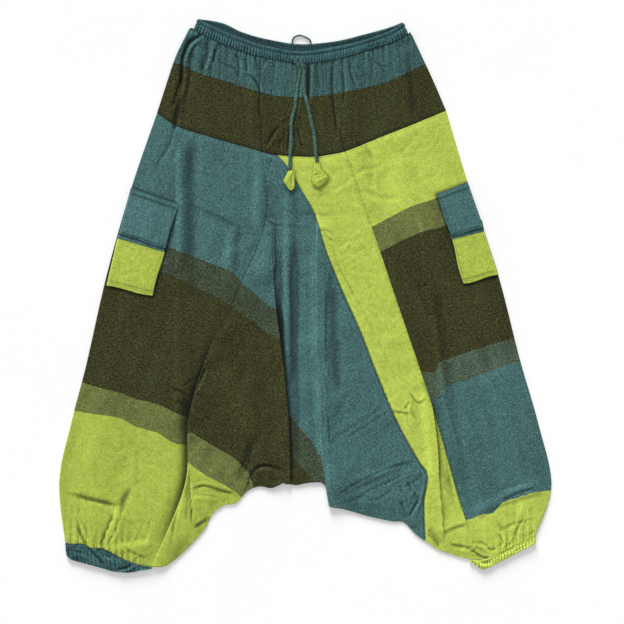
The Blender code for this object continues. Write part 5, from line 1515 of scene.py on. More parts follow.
@dataclass(frozen=True)
class Drawstring:
    """The drawstring's two free ends: narrow sewn tubes of cloth, each with a folded tip."""

    wardrobe: Wardrobe
    diameter: float = 6.2
    flatness: float = 0.56
    lengths: tuple[float, float] = (0.200, 0.187)

    def path(self, side: str) -> Array:
        """The middle line of one end, over the band's edge and down the gathered cloth.

        Args:
            side: "right" or "left".

        Returns:
            n x 3, mm.
        """
        flat = resampled(CORD_ROUTES[side], 4)
        beside = [FRONT.height(flat[:, 0] + dx, flat[:, 1]) for dx in (-1.6, 0.0, 1.6)]
        rise = np.convolve(np.pad(np.max(beside, axis=0), 4, mode="edge"), np.full(9, 1 / 9), mode="valid")
        on_band = smooth((flat[:, 1] - height_on(BAND_FRONT_BOTTOM, flat[:, 0])) / CORD_RAMP + 1)
        rise = np.maximum(rise, BAND_FACE * on_band + LAYER_GAP)
        return np.column_stack([flat, rise + CORD_CLEARANCE + CORD_RADIUS * self.flatness])

    def build(self) -> None:
        for side, length in zip(("right", "left"), self.lengths):
            path = self.path(side)
            run = np.linspace(0, 1, len(path))
            wide = self.diameter / 2 * (0.92 + 0.12 * run + 0.05 * np.sin(run * 37 + len(side)))
            points, faces, marks, threads = tube(path, wide, wide * self.flatness)
            item = self.wardrobe.solid(f"drawstring_end_{side}", points, faces, CORD_FINISH, "cord_cotton",
                                       (f"drawstring_{side}",), marks, threads)
            self.tip(side)

    def tip(self, side: str, around: int = 84, steps: int = 20) -> bpy.types.Object:
        """A folded scrap of cloth sewn over the end, a rounded pad with folds across it.

        Each face is a fan of rings from the outline to the middle, raised by the root of 1
        less the sixth power of the ring's size.

        Args:
            side: "right" or "left".
            around, steps: Points in a ring, and rings in a face.

        Returns:
            The piece.
        """
        table = np.array(TIPS[side], float)
        corners = np.concatenate([table, table[:1]])
        turn = travelled(corners)
        place = np.linspace(0, turn[-1], around, endpoint=False)
        ring = np.stack([np.interp(place, turn, corners[:, k]) for k in range(2)], axis=-1)
        for _ in range(2):
            ring = (np.roll(ring, 1, axis=0) + 2 * ring + np.roll(ring, -1, axis=0)) / 4
        centre = table.mean(axis=0)
        floor = FRONT.height(table[:, 0], table[:, 1]).max() + LAYER_GAP
        size = np.sin(np.linspace(0, math.pi / 2, steps + 1)[1:])
        rows = []
        for sizes, sign, bulge in ((size, 1, 1.5), (size[:-1][::-1], -1, 0.8)):
            flat = centre + (ring - centre)[None] * sizes[:, None, None]
            x, y = flat[..., 0], flat[..., 1]
            lift = 0.25 * rumple(x, y, 6.0, 31)
            for x0, y0, x1, y1, half_width, rise in TIP_FOLDS[side]:
                lift += rise * bell(along_line(x, y, np.array([(x0, y0), (x1, y1)], float))[0], half_width)
            lift *= (1 - 0.75 * sizes ** 6)[:, None] * (sign > 0)
            dome = sign * bulge * np.sqrt(1 - sizes ** 6)[:, None]
            rows.append(np.dstack([flat, floor + 0.85 * TIP_HALF_HEIGHT + dome + lift]))
        rings = np.concatenate(rows)
        # Painted shade in the hollows between the folds, and a little on the rim and the underside.
        depth = np.clip(1.3 * (blurred(rings[..., 2], 3) - rings[..., 2]), -0.7, 0.9)
        depth = np.where(np.arange(len(rings))[:, None] > steps - 2, 0.15, depth)
        points, faces, marks, threads = capped(rings, depth, turned(rings[..., 0], rings[..., 1], 40.0))
        return self.wardrobe.solid(f"folded_tip_{side}", points, faces, LIME_FINISH, "lime_cotton",
                                   (f"drawstring_tip_{side}",), marks, threads)


@dataclass(frozen=True)
class HangLoop:
    """Narrow loop that stands up behind the back of the waistband, sewn down at both ends."""

    wardrobe: Wardrobe
    top_share: float = 0.97

    def build(self) -> None:
        """Make the loop along its route, flattened like a narrow sewn tape."""
        points = [[x, y, LAYER_GAP + LOOP_RADIUS] for x, y in LOOP_ROUTE]
        for foot in (points[0], points[-1]):
            top, bottom = height_on(BAND_BACK_TOP, foot[0]), height_on(BAND_BACK_BOTTOM, foot[0])
            foot[1] = float(bottom + (top - bottom) * self.top_share - 1.5)
        points, faces, marks, threads = tube(resampled(np.array(points), count=49), LOOP_RADIUS,
                                             LOOP_RADIUS * 0.8, around=12)
        self.wardrobe.solid("hang_loop_tape", points, faces, CORD_FINISH, "teal_cotton", ("hang_loop",),
                            marks, threads)


# ---- waistband and cuffs
@dataclass(frozen=True)
class Casing:
    """A flattened ring of casing, gathered over the elastic inside it.

    Its section is a closed curve through (share of the height, offset from the middle in
    walls); the offset is carried outwards from a flat ring with round ends.
    """

    wardrobe: Wardrobe
    name: str
    node: str
    slot: str
    finish: ClothFinish
    edges: tuple[Points, Points, Points, Points]    # front top and bottom, back top and bottom
    height: float
    wall: float
    ribs: int
    cut: Cut
    profile: tuple[tuple[float, float, float], ...]  # share, offset, how far it is ribbed
    rib_depth: float = 0.62
    unevenness: float = 0.5
    crumple: float = 0.16
    folds: Rows = field(default_factory=list)
    wander: float = 0.0
    channel: float = 0.62       # share of the height where the upper elastic's channel starts
    steps_per_rib: int = 6
    profile_steps: int = 46
    turn_steps: int = 10

    def build(self) -> None:
        """Make the casing: its front, the turn at the left, its back and the other turn.

        Ribs are a cosine round the ring, sharpened by a power, with a drifting pitch that
        differs in the two channels.
        """
        share = np.linspace(0, 1, self.ribs * self.steps_per_rib + 1)
        angle = np.linspace(math.pi / 2, -math.pi / 2, self.turn_steps + 1)[1:-1]
        still = 0 * share
        place = np.concatenate([share, 1 + 0 * angle, share[::-1], 0 * angle])[:, None]
        swing = np.concatenate([still, np.cos(angle), still, -np.cos(angle)])[:, None]
        lift = np.concatenate([still + 1, np.sin(angle), still - 1, -np.sin(angle)])[:, None]
        front = np.arange(len(place))[:, None] < len(share) + len(angle)
        edges = []
        for points in self.edges:
            x = points[0][0] + self.height / 2 + place * (points[-1][0] - points[0][0] - self.height)
            edges.append(np.concatenate([x, height_on(points, x)], axis=1))
        upper, lower = np.where(front, edges[0], edges[2]), np.where(front, edges[1], edges[3])
        table = np.array(self.profile + self.profile[:3], float)
        rows = np.linspace(1, len(self.profile) + 1, self.profile_steps, endpoint=False)
        up, offset, ribbed = spline(table, rows).T[:, None]

        run = place * self.ribs + 100.0 * front
        top_share = smooth((up - self.channel) / 0.1)
        wave = np.zeros((len(place), self.profile_steps))
        for seed, rate, part in ((61, 0.82, 1 - top_share), (67, 1.12, top_share)):
            drift = 0.30 * rumple(run, run * 0, 3.0, seed) + 0.6 * rumple(run, run * 0, 11.0, seed + 1)
            wave += np.cos(2 * math.pi * rate * (run + drift) + self.wander * up) * part
        uneven = 1 + self.unevenness * rumple(run, up * 5, 1.7, 63)
        sharp = 1.25 * np.sign(wave) * np.abs(wave) ** 1.3 - 0.15
        relief = (self.rib_depth * sharp * uneven + self.crumple * rumple(run, up * 9, 2.6, 64)) * ribbed
        base = lower[:, None] + (upper - lower)[:, None] * up[..., None]
        across = base[..., 0] + swing * self.height / 2
        for half_width, rise, *numbers in self.folds:
            away, on_fold, length = along_line(across, base[..., 1],
                                               resampled(np.reshape(numbers, (-1, 2)), count=21))
            fade = smooth(np.minimum(on_fold, length - on_fold) / (0.3 * length))
            relief = relief + rise * fade * bell(away, half_width) * (lift > 0) * ribbed
        relief = relief * (1 - swing ** 2)
        reach = offset * self.wall + relief * np.where(offset < 0, -1, 1)
        reach = np.where((lift < -0.99) & (offset > 0), np.minimum(reach, self.wall / 2), reach)
        reach = np.where(offset < 0, np.maximum(reach, -0.62 * self.wall), reach)
        reach += (self.height - self.wall) / 2
        z = np.maximum(self.height / 2 + lift * reach, 0.02)
        points = np.stack([base[..., 0] + swing * reach, base[..., 1], z], axis=-1)
        along = travelled(base[:, 0])[:, None]
        threads = np.stack([np.broadcast_to(along, z.shape), base[..., 1]], axis=-1) * MM
        # Painted shade in the grooves between the ribs, and on the inner face except near the top of the back.
        proud = relief + 0.8 * offset * self.wall
        inner = 0.75 * smooth((-offset - 0.1) * 6) * (1 - smooth((up - 0.80) * 7) * (1 - front))
        depth = np.clip(1.5 * (blurred(proud, 4) - proud), -0.55, 1.5) + inner
        faces = grid_faces(len(place), self.profile_steps, round_rows=True, round_columns=True)
        item = self.wardrobe.solid(self.name, points.reshape(-1, 3), faces, self.finish, self.slot,
                                   (self.node,), {"depth": depth}, threads)


BAND_PROFILE = (
    (0.02, -0.28, 0.0), (0.00, 0.00, 0.2), (0.02, 0.26, 0.7), (0.08, 0.46, 1.0), (0.20, 0.58, 1.0),
    (0.34, 0.64, 1.0), (0.47, 0.60, 0.9), (0.56, 0.44, 0.75), (0.61, 0.22, 0.5), (0.65, 0.14, 0.4),
    (0.69, 0.26, 0.5), (0.74, 0.48, 0.7), (0.81, 0.60, 0.75), (0.89, 0.56, 0.75), (0.95, 0.36, 0.6),
    (0.985, 0.04, 0.4), (0.975, -0.32, 0.3), (0.92, -0.42, 0.5), (0.80, -0.50, 0.6), (0.66, -0.34, 0.4),
    (0.50, -0.50, 0.3), (0.10, -0.50, 0.1))
CUFF_PROFILE = (
    (0.02, -0.30, 0.0), (0.00, 0.02, 0.3), (0.03, 0.30, 0.8), (0.12, 0.50, 1.0), (0.32, 0.62, 1.0),
    (0.55, 0.60, 1.0), (0.70, 0.44, 0.7), (0.77, 0.26, 0.5), (0.84, 0.40, 0.8), (0.92, 0.44, 0.8),
    (0.98, 0.16, 0.5), (0.98, -0.30, 0.1), (0.80, -0.46, 0.1), (0.50, -0.50, 0.1), (0.12, -0.48, 0.1))


# ---- the leg panels
def wrapped_side(fold: Array, crease: Array, seam: Array, back: Array, height: Array,
                 counts: tuple[int, int, int], outward: int, edges: tuple[Points, Points],
                 ends: tuple[Points, Points]) -> tuple[Array, slice]:
    """A panel that wraps the side: on the surface, round the fold, and back on top.

    The turn is half a circle as high as both layers, and the front comes down to it as a
    bell curve.

    Args:
        fold, crease, seam, back: Columns (x, y): the side fold, one on the front, the front's
            last and the back's first.
        height: Of the two layers together at the fold, for each row.
        counts: Steps across the back, the turn and the front.
        outward: -1 for the right side, 1 for the left.
        edges, ends: Curves of the first and last row, of the front and of the back.

    Returns:
        The grid of middle points, and the columns that lie on top.
    """
    radius = (height - LAYER)[:, None] / 2
    turn_x, turn_y = fold[:, :1] - outward * (radius + LAYER / 2), fold[:, 1:]
    turn = np.concatenate([turn_x, turn_y], axis=1)
    share = (1 - (1 - np.linspace(0, 1, counts[0] + 1)[:-1]) ** 2)[:, None]
    under = raised(fit_edges(back[:, None] * (1 - share) + turn[:, None] * share, *ends), back_middle)
    under[..., 2] += (LAYER / 2 - under[..., 2]) * bell(under[..., 0] - turn_x, 12.0)
    angles = np.linspace(-math.pi / 2, math.pi / 2, counts[1] + 1)
    around = np.stack([turn_x + outward * radius * np.cos(angles), turn_y + 0 * angles,
                       LAYER / 2 + radius * (1 + np.sin(angles))], axis=-1)
    over = raised(fit_edges(between_columns([turn, crease, seam], counts[2])[:, 1:], *edges), FRONT.middle)
    lift = LAYER / 2 + 2 * radius - FRONT.middle(turn_x, turn_y)
    over[..., 2] += lift * bell(over[..., 0] - turn_x, EDGE_SOFTNESS)
    return np.concatenate([under, around, over], axis=1), slice(-counts[2] - 2, None)


def seam_shade(section: Array, right: bool) -> Array:
    """How dark the front seams are: faint at the thigh, and lost in the left leg's ankle."""
    shade = 0.06 + 0.5 * smooth((section - 1.7) / 1.0)
    return (shade if right else shade * (1 - smooth((section - 5.2) / 0.25)))[:, None]


@dataclass(frozen=True)
class SidePanel:
    """Outer panel of one leg, from the back seam round the side fold to the front seam."""

    wardrobe: Wardrobe
    side: str
    cut: Cut
    rows: int = 235
    counts: tuple[int, int, int] = (24, 10, 104)

    def build(self) -> None:
        """Make the panel, the right one with its seam under the centre panel's fold."""
        right = self.side == "right"
        table, ankle, bands, finish, weft, outward = (
            (RIGHT_SIDE, CUFF_RIGHT_TOP + [RIGHT_SIDE["front_seam"][-1]], RIGHT_LEG_BANDS, RIGHT_LEG_FINISH,
             -21.0, -1) if right else (LEFT_SIDE, CUFF_LEFT_TOP, LEFT_LEG_BANDS, LEFT_LEG_FINISH, 22.0, 1))
        section = np.linspace(0, SECTIONS, self.rows + 1)
        column = {name: spline(points, section) for name, points in table.items()}
        height = SIDE_HEIGHT + ANKLE_LIFT * smooth(section - SECTIONS + 1)
        seam, edge_x = column["front_seam"], column["front_seam"][:, :1]
        if right:
            seam, under, *_ = hidden_seam(section)
        grid, top = wrapped_side(column["side_fold"], column["pressed_crease"], seam, column["back_seam"],
                                 height, self.counts, outward, (YOKE_SEAM, ankle), (YOKE_SEAM, ankle))
        if right:
            front = grid[:, -self.counts[2]:]
            near = smooth(1 - (edge_x - front[..., 0]) / EDGE_SOFTNESS) * SEAM_TUCK.state(section)[2][:, None]
            front[..., 2] += (LOW_LAYER - front[..., 2]) * near
            grid[:, -1, 2] = under
        grid = trimmed(grid, HALF_GAP, HALF_GAP, HALF_GAP, BAND_GAP)
        x, y = grid[..., 0], grid[..., 1]
        cloth = ClothGrid(grid, turned(x, y, weft), {"band": band_place(x, y, bands)})
        cloth.mark_painted_shade(top, (True,) * 4, seam_shade(section, right), 0.20)
        if right:
            # Painted shadow on the right panel beside the edge of the centre panel's fold.
            section = section[:, None]
            gap = bell(edge_x - x[:, top], 8.5 + 6.0 * bell(section - 3.75, 0.35))
            gap *= smooth((section - 2.7) / 0.4) * (1 - smooth((section - 4.9) / 0.9))
            cloth.marks["depth"][:, top] += 2.3 * gap
        self.wardrobe.sheet(f"leg_side_{self.side}_cloth", cloth, finish, "striped_cotton",
                            f"side_panel_{self.side}", self.cut)


def panel_between(start: Array, guides: list[Array], end: Array, count: int, hem: Points,
                  floors: tuple[Array | None, Array | None], shadow: float = 12.0) -> Array:
    """Cloth between two fold edges: through the guides, and lifted to meet both ends.

    The lifts fade as bell curves. Over a fold's hidden leg the cloth stays above it.

    Args:
        start, end: The first and the last column (x, y, z).
        guides: Columns (x, y) between.
        count: Steps across.
        hem: Curve of the bottom edge.
        floors: Least height of the middle near the first and the last column, row by row.
        shadow: How far from the column it counts, mm.

    Returns:
        Rows x (count + 1) x 3, mm.
    """
    grid = fit_edges(between_columns([start[:, :2], *guides, end[:, :2]], count), None, hem)
    grid = raised(grid, FRONT.middle)
    away = [np.linalg.norm(grid[..., :2] - grid[:, edge, :2], axis=-1) for edge in (np.s_[:1], np.s_[-1:])]
    near = [bell(distance, EDGE_SOFTNESS) for distance in away]
    lifts = start[:, 2:] - grid[:, :1, 2], end[:, 2:] - grid[:, -1:, 2]
    grid[..., 2] += lifts[0] * near[0] * (1 - near[1]) + lifts[1] * near[1]
    for floor, distance in zip(floors, away):
        if floor is not None:
            grid[..., 2] = np.maximum(grid[..., 2], floor[:, None] * smooth(2 - distance / shadow))
    return grid


def laid_fold(start: Array, run: Array, rise: Array) -> Array:
    """A fold's steps laid from a start (x, y, z) for each section: rows x steps x 3, mm."""
    return start[:, None] + np.stack([run, 0 * run, rise], axis=-1)


@dataclass(frozen=True)
class CentrePanel:
    """Front centre panel: right thigh, a pleat, a sunk strip, a second pleat, left thigh."""

    wardrobe: Wardrobe
    cut: Cut
    rows: int = 225
    thigh_columns: int = 56
    strip_columns: int = 20
    left_columns: int = 84

    def pleat(self, fold: Fold, edge: Array, section: Array) -> Array:
        """A pleat whose fold lies on its edge, and whose low side is the lowest layer.

        Args:
            fold: The pleat.
            edge: Its edge (x, y).
            section: Section numbers down the leg.

        Returns:
            Rows x steps x 3, mm.
        """
        run, rise = fold.steps(section)
        share = fold.state(section)[2]
        low = FRONT.middle(edge[:, 0], edge[:, 1]) * (1 - share) + LOW_LAYER * share
        if fold.rises < 0:
            start = edge[:, 0] - run.max(axis=1), edge[:, 1], low - rise[:, -1]
        else:
            start = edge[:, 0] - run.min(axis=1), edge[:, 1], low
        return laid_fold(np.column_stack(start), run, rise)

    def build(self) -> None:
        """Make the panel as one grid, from the right leg's seam to the left leg's."""
        section = np.linspace(0, SECTIONS, self.rows + 1)
        guide = {name: spline(points, section) for name, points in CENTRE.items()}
        seam, _, seam_z, *steps = hidden_seam(section)
        tuck = laid_fold(np.column_stack([seam, seam_z]), *steps)
        pleat = self.pleat(PLEAT, guide["pleat_edge"], section)
        ridge = self.pleat(RIDGE, guide["ridge_edge"], section)
        tucked, pleated, ridged = (fold.state(section)[2] for fold in (SEAM_TUCK, PLEAT, RIDGE))
        room = LAYER - 0.1
        over_fold = LOW_LAYER + 2 * FOLD_RADIUS + room
        thigh = panel_between(tuck[:, -1], [guide["right_inner"], guide["right_thigh"]], pleat[:, 0],
                              self.thigh_columns, HEM_RIGHT, ((seam_z + room) * tucked, over_fold * pleated))
        share = np.linspace(0, 1, self.strip_columns + 1)[None, 1:-1, None]
        strip = pleat[:, -1:] * (1 - share) + ridge[:, :1] * share
        window = np.sin(math.pi * share[..., 0]) ** 0.6 * pleated[:, None]
        relief = sum(part(strip[..., 0], strip[..., 1]) for part in (FRONT.broad_folds, FRONT.softness))
        strip[..., 2] = np.maximum(strip[..., 2] + window * (0.5 + relief), LOW_LAYER - 0.3)
        bottom = smooth(section - SECTIONS + 1)[:, None]
        strip[..., 1] += (height_on(HEM_STRIP, strip[-1, :, 0]) - strip[-1, :, 1]) * bottom
        ridge[..., 1] += ((HEM_STRIP[-1][1] - ridge[-1, 0, 1]) * bottom
                          * np.linspace(1, 0, ridge.shape[1]) ** 2)
        left = panel_between(ridge[:, -1], [guide["left_thigh"], guide["left_inner"]],
                             raised(guide["left_seam"], FRONT.middle), self.left_columns, HEM_LEFT,
                             (over_fold * ridged, None))
        parts = [tuck, thigh[:, 1:-1], pleat, strip, ridge, left[:, 1:]]
        grid = trimmed(fit_edges(np.concatenate(parts, axis=1), YOKE_SEAM, None), *[HALF_GAP] * 3, 0.0)
        self.dress(grid, [part.shape[1] for part in parts])

    def dress(self, grid: Array, widths: list[int]) -> None:
        """Set the bands, threads and painted shade of each zone between the folds, and make the piece.

        Args:
            grid: The panel's middle points.
            widths: Columns of the tuck, thigh, pleat, strip, ridge and left part.
        """
        x, y = grid[..., 0], grid[..., 1]
        column, ends = np.arange(grid.shape[1]), np.cumsum(widths)
        in_left = column >= ends[3] + widths[4] // 2
        in_strip = (column >= ends[1] + widths[2] // 2) & ~in_left
        band = np.where(in_strip, band_place(x, y, STRIP_BANDS), band_place(x, y, THIGH_BANDS))
        weft = np.where(in_left, -58.0, np.where(in_strip, -54.0, -37.0))
        beyond = along_line(x, y, resampled(DIAGONAL_SEAM, 8))[0]
        cloth = ClothGrid(grid, turned(x, y, weft), {"band": np.where(in_left, 1.0, band), "beyond": beyond})
        rows = np.linspace(0, SECTIONS, len(grid))
        cloth.mark_painted_shade(slice(0, None), (True, True, True, False), seam_shade(rows, False), 0.20)
        rows = rows[:, None]
        # Painted shade under the folds and in the slit beside the pleat's edge; darker along the slanting seam.
        shade = np.zeros(grid.shape[:2])
        for start, end, dark in ((0, widths[0] - 3, 0.8), (ends[1] + 8, ends[2], 0.9),
                                 (ends[3], ends[4] - 8, 0.6)):
            shade[:, start:end] = dark
        past = x - x[:, ends[1]:ends[2]].max(axis=1, keepdims=True)
        reach = 3.4 + 5.5 * bell(rows - 2.4, 0.35) + 2.5 * bell(rows - 3.1, 0.6)
        slit = (2.6 + 2.0 * bell(rows - 2.7, 0.6)) * bell(past, reach)
        slit += 0.5 * bell(past - 6, 6) * bell(rows - 2.0, 0.6)
        shade += slit * ((column >= ends[2]) & (column < ends[3]))
        cloth.marks["depth"] += 0.65 * bell(beyond, 1.2) + shade * smooth((rows - 1.8) / 0.8)
        self.wardrobe.sheet("centre_front_cloth", cloth, CENTRE_FINISH, "striped_cotton",
                            "centre_panel_front", self.cut)


# ---- yoke and back
@dataclass(frozen=True)
class Yoke:
    """Gathered yoke between the waistband and the legs: front, two sides and back."""

    wardrobe: Wardrobe
    side_cut: Cut
    front_cut: Cut
    back_cut: Cut
    rows: int = 84
    row_spacing: float = 1.25
    counts: tuple[int, int, int] = (22, 10, 140)
    columns: tuple[int, int] = (150, 50)        # of the front and the back

    def piece(self, name: str, node: str, grid: Array, top: slice, cut: Cut, folds: float = 0.22) -> None:
        """Trim and dress one part, teal over olive with its threads along the bands.

        Args:
            name: The piece's name.
            node: The CAD node that it replaces.
            grid: Middle points.
            top: The columns that lie on top.
            cut: How it was cut.
            folds: Shade for each mm that the front's folds sink.
        """
        grid = trimmed(grid, HALF_GAP, HALF_GAP, BAND_GAP, HALF_GAP)
        below = height_on(YOKE_BAND, grid[..., 0]) - grid[..., 1]
        cloth = ClothGrid(grid, np.stack([grid[..., 0], -below], axis=-1) * MM,
                          {"band": 2.0 + np.clip(below / 3.0, -1, 1)})
        cloth.mark_painted_shade(top, (True,) * 4, 0.75, folds)
        # Darker along the line where teal meets olive, and painted shade along the top edge under the waistband.
        cloth.marks["depth"] += 0.35 * bell(below, 1.1) + 0.7 * bell(travelled(grid), 2.4)
        self.wardrobe.sheet(name, cloth, YOKE_FINISH, "striped_cotton", node, cut)

    def build(self) -> None:
        """Make both sides, the front and the back."""
        section = YOKE_SECTIONS * np.linspace(0, 1, self.rows + 1) ** self.row_spacing
        height = SIDE_HEIGHT + WAIST_LIFT * smooth((WAIST_LIFT_SECTION - section) / 2)
        edges = [(YOKE_RIGHT_CORNER + band[1:] + YOKE_LEFT_CORNER, YOKE_SEAM)
                 for band in (BAND_FRONT_BOTTOM, BAND_BACK_BOTTOM)]
        seams, backs = [], []
        for side, outward, table in (("right", -1, YOKE_RIGHT), ("left", 1, YOKE_LEFT)):
            column = {name: spline(points, section) for name, points in table.items()}
            seams.append(column["seam"])
            backs.append(spline(YOKE_BACK_SEAMS[side], section / YOKE_SECTIONS))
            grid, top = wrapped_side(column["side_fold"], column["shaded_fold"], seams[-1], backs[-1], height,
                                     self.counts, outward, *edges)
            self.piece(f"yoke_{side}_cloth", f"yoke_side_{side}", grid, top, self.side_cut)
        for name, columns, count, edge, middle, cut, folds in (
                ("front", seams, self.columns[0], BAND_FRONT_BOTTOM, FRONT.middle, self.front_cut, 0.22),
                ("back", backs, self.columns[1], BAND_BACK_BOTTOM, back_middle, self.back_cut, 0.0)):
            grid = raised(fit_edges(between_columns(columns, count), edge, YOKE_SEAM), middle)
            self.piece(f"yoke_{name}_cloth", f"yoke_{name}", grid, slice(0, None), cut, folds)


@dataclass(frozen=True)
class BackPanel:
    """Back centre panel, flat on the surface between the two back seams."""

    wardrobe: Wardrobe
    cut: Cut
    rows: int = 110
    columns: int = 80

    def build(self) -> None:
        """Make the panel; its hem is that of the front, with a step at the second pleat."""
        section = np.linspace(0, SECTIONS, self.rows + 1)
        inner = [points for name, points in CENTRE.items() if name not in ("right_seam", "left_seam")]
        columns = [spline(points, section)
                   for points in (RIGHT_SIDE["back_seam"], *inner, LEFT_SIDE["back_seam"])]
        hem = HEM_RIGHT + HEM_STRIP[1:] + xy(36, -332, 40, -350) + HEM_LEFT
        flat = fit_edges(between_columns(columns, self.columns), YOKE_SEAM, hem)
        x, y = flat[..., 0], flat[..., 1]
        band = np.where(x < 0, band_place(x, y, THIGH_BANDS), 1.0)
        beyond = along_line(x, y, resampled(DIAGONAL_SEAM, count=60))[0]
        cloth = ClothGrid(trimmed(raised(flat, back_middle), *[HALF_GAP] * 3, 0.0), turned(x, y, -45.0),
                          {"band": band, "beyond": beyond})
        cloth.mark_painted_shade(slice(0, None), (True, True, True, False))
        self.wardrobe.sheet("centre_back_cloth", cloth, CENTRE_FINISH, "striped_cotton",
                            "centre_panel_back", self.cut)


# ---- pockets
@dataclass(frozen=True)
class PocketPart:
    """One part of a patch pocket: its lift, steps, finish, slot, and how it stands proud and strays."""

    kind: str
    lift: float                 # over the front, mm
    steps: tuple[int, int]      # down and across
    finish: ClothFinish
    slot: str
    proud: float                # how far its middle stands out, mm
    sway: float                 # how far its free edges stray from straight, mm


BAG = PocketPart("bag", LAYER_GAP, (52, 48), LIME_FINISH, "lime_cotton", 0.35, 1.2)
WELT = PocketPart("welt", LAYER_GAP, (14, 48), FLAP_FINISH, "teal_cotton", 0.0, 0.3)
FLAP = PocketPart("flap", 2 * LAYER_GAP + LAYER, (56, 52), FLAP_FINISH, "teal_cotton", 0.5, 1.0)


@dataclass(frozen=True)
class Pocket:
    """Patch pocket of one leg: a bag, the binding at its mouth, and a flap over them."""

    wardrobe: Wardrobe
    side: str
    outward: int
    cuts: tuple[Cut, Cut, Cut]
    overhang: float = 0.3

    def build(self) -> None:
        """Make the bag, the binding and the flap."""
        for part, cut in zip((BAG, WELT, FLAP), self.cuts):
            self.make(part, cut)

    def make(self, part: PocketPart, cut: Cut) -> None:
        """Make one part on the leg's own shape, moved out by the layers under it.

        Its turned-in edges are a little thicker, its middle stands a little proud, and its
        hand-cut free edges stray from straight by a slow sine.

        Args:
            part: Which part.
            cut: How it was cut.
        """
        corners = np.array(POCKETS[self.side][part.kind], float)
        along, length = corners[1] - corners[0], np.linalg.norm(corners[2] - corners[1])
        width, angle = np.linalg.norm(along), math.degrees(math.atan2(*(along * -self.outward)[::-1]))
        corners[[0, 3], 0] += self.outward * self.overhang
        v, u = (np.linspace(0, 1, count + 1) for count in part.steps)
        v, u = v[:, None], u[None]
        flat = np.stack([(1 - v) * (1 - u), (1 - v) * u, v * u, v * (1 - u)], axis=-1) @ corners
        flat[..., 0] += part.sway * np.sin(v * 5.5 + 1.0) * u ** 3
        flat[..., 1] += part.sway * np.sin(u * 6.5) * v ** 3
        x, y = flat[..., 0], flat[..., 1]
        edge = np.minimum(np.minimum(u, 1 - u) * width, (1 - v) * length)
        rise = part.proud * np.sin(math.pi * u) * np.sin(math.pi * v)
        rise = rise + 0.30 * bell(edge - 1.6, 1.5) - 0.25 * bell(edge - 3.4, 0.9)
        rise += 0.25 * rumple(x, y, 17.0, 71 + self.outward) + 0.12 * rumple(x, y, 7.0, 72)
        if part is BAG:
            rise += 0.35 * np.sin(u * 9.4 + 0.6 * np.sin(v * 5)) * np.sin(math.pi * u) * (1 - 0.5 * v)
            lines = [((1 - v) * length - 8.5, 0.4)]
        elif part is WELT:
            rise *= 0
            lines = [(along_line(x, y, np.array(POCKETS[self.side]["flap"][2:], float))[0], 1.3)]
        else:
            lines = [(v * length - 9, 0.8), ((1 - v) * length - 3, 0.6)]
        z = FRONT.height(x, y) + part.lift + LAYER / 2 + np.maximum(rise, 0)
        z -= 1.2 * smooth(1 - u * width / 2.4)
        # Painted shade along the stitched lines, and the flap's painted shadow on the welt.
        shade = sum(dark * bell(away, 1.7) for away, dark in lines) + 0 * x
        across = slice(None, None, -self.outward)       # both sides run the same way over the cloth
        grid, shade = np.dstack([flat, z])[:, across], shade[:, across]
        cloth = ClothGrid(grid, turned(grid[..., 0], grid[..., 1], angle))
        cloth.mark_painted_shade(slice(0, None), (False, False, True, False), 0.9)
        cloth.marks["depth"] += shade
        self.wardrobe.sheet(f"pocket_{part.kind}_{self.side}_cloth", cloth, part.finish, part.slot,
                            f"pocket_{part.kind}_{self.side}", cut)


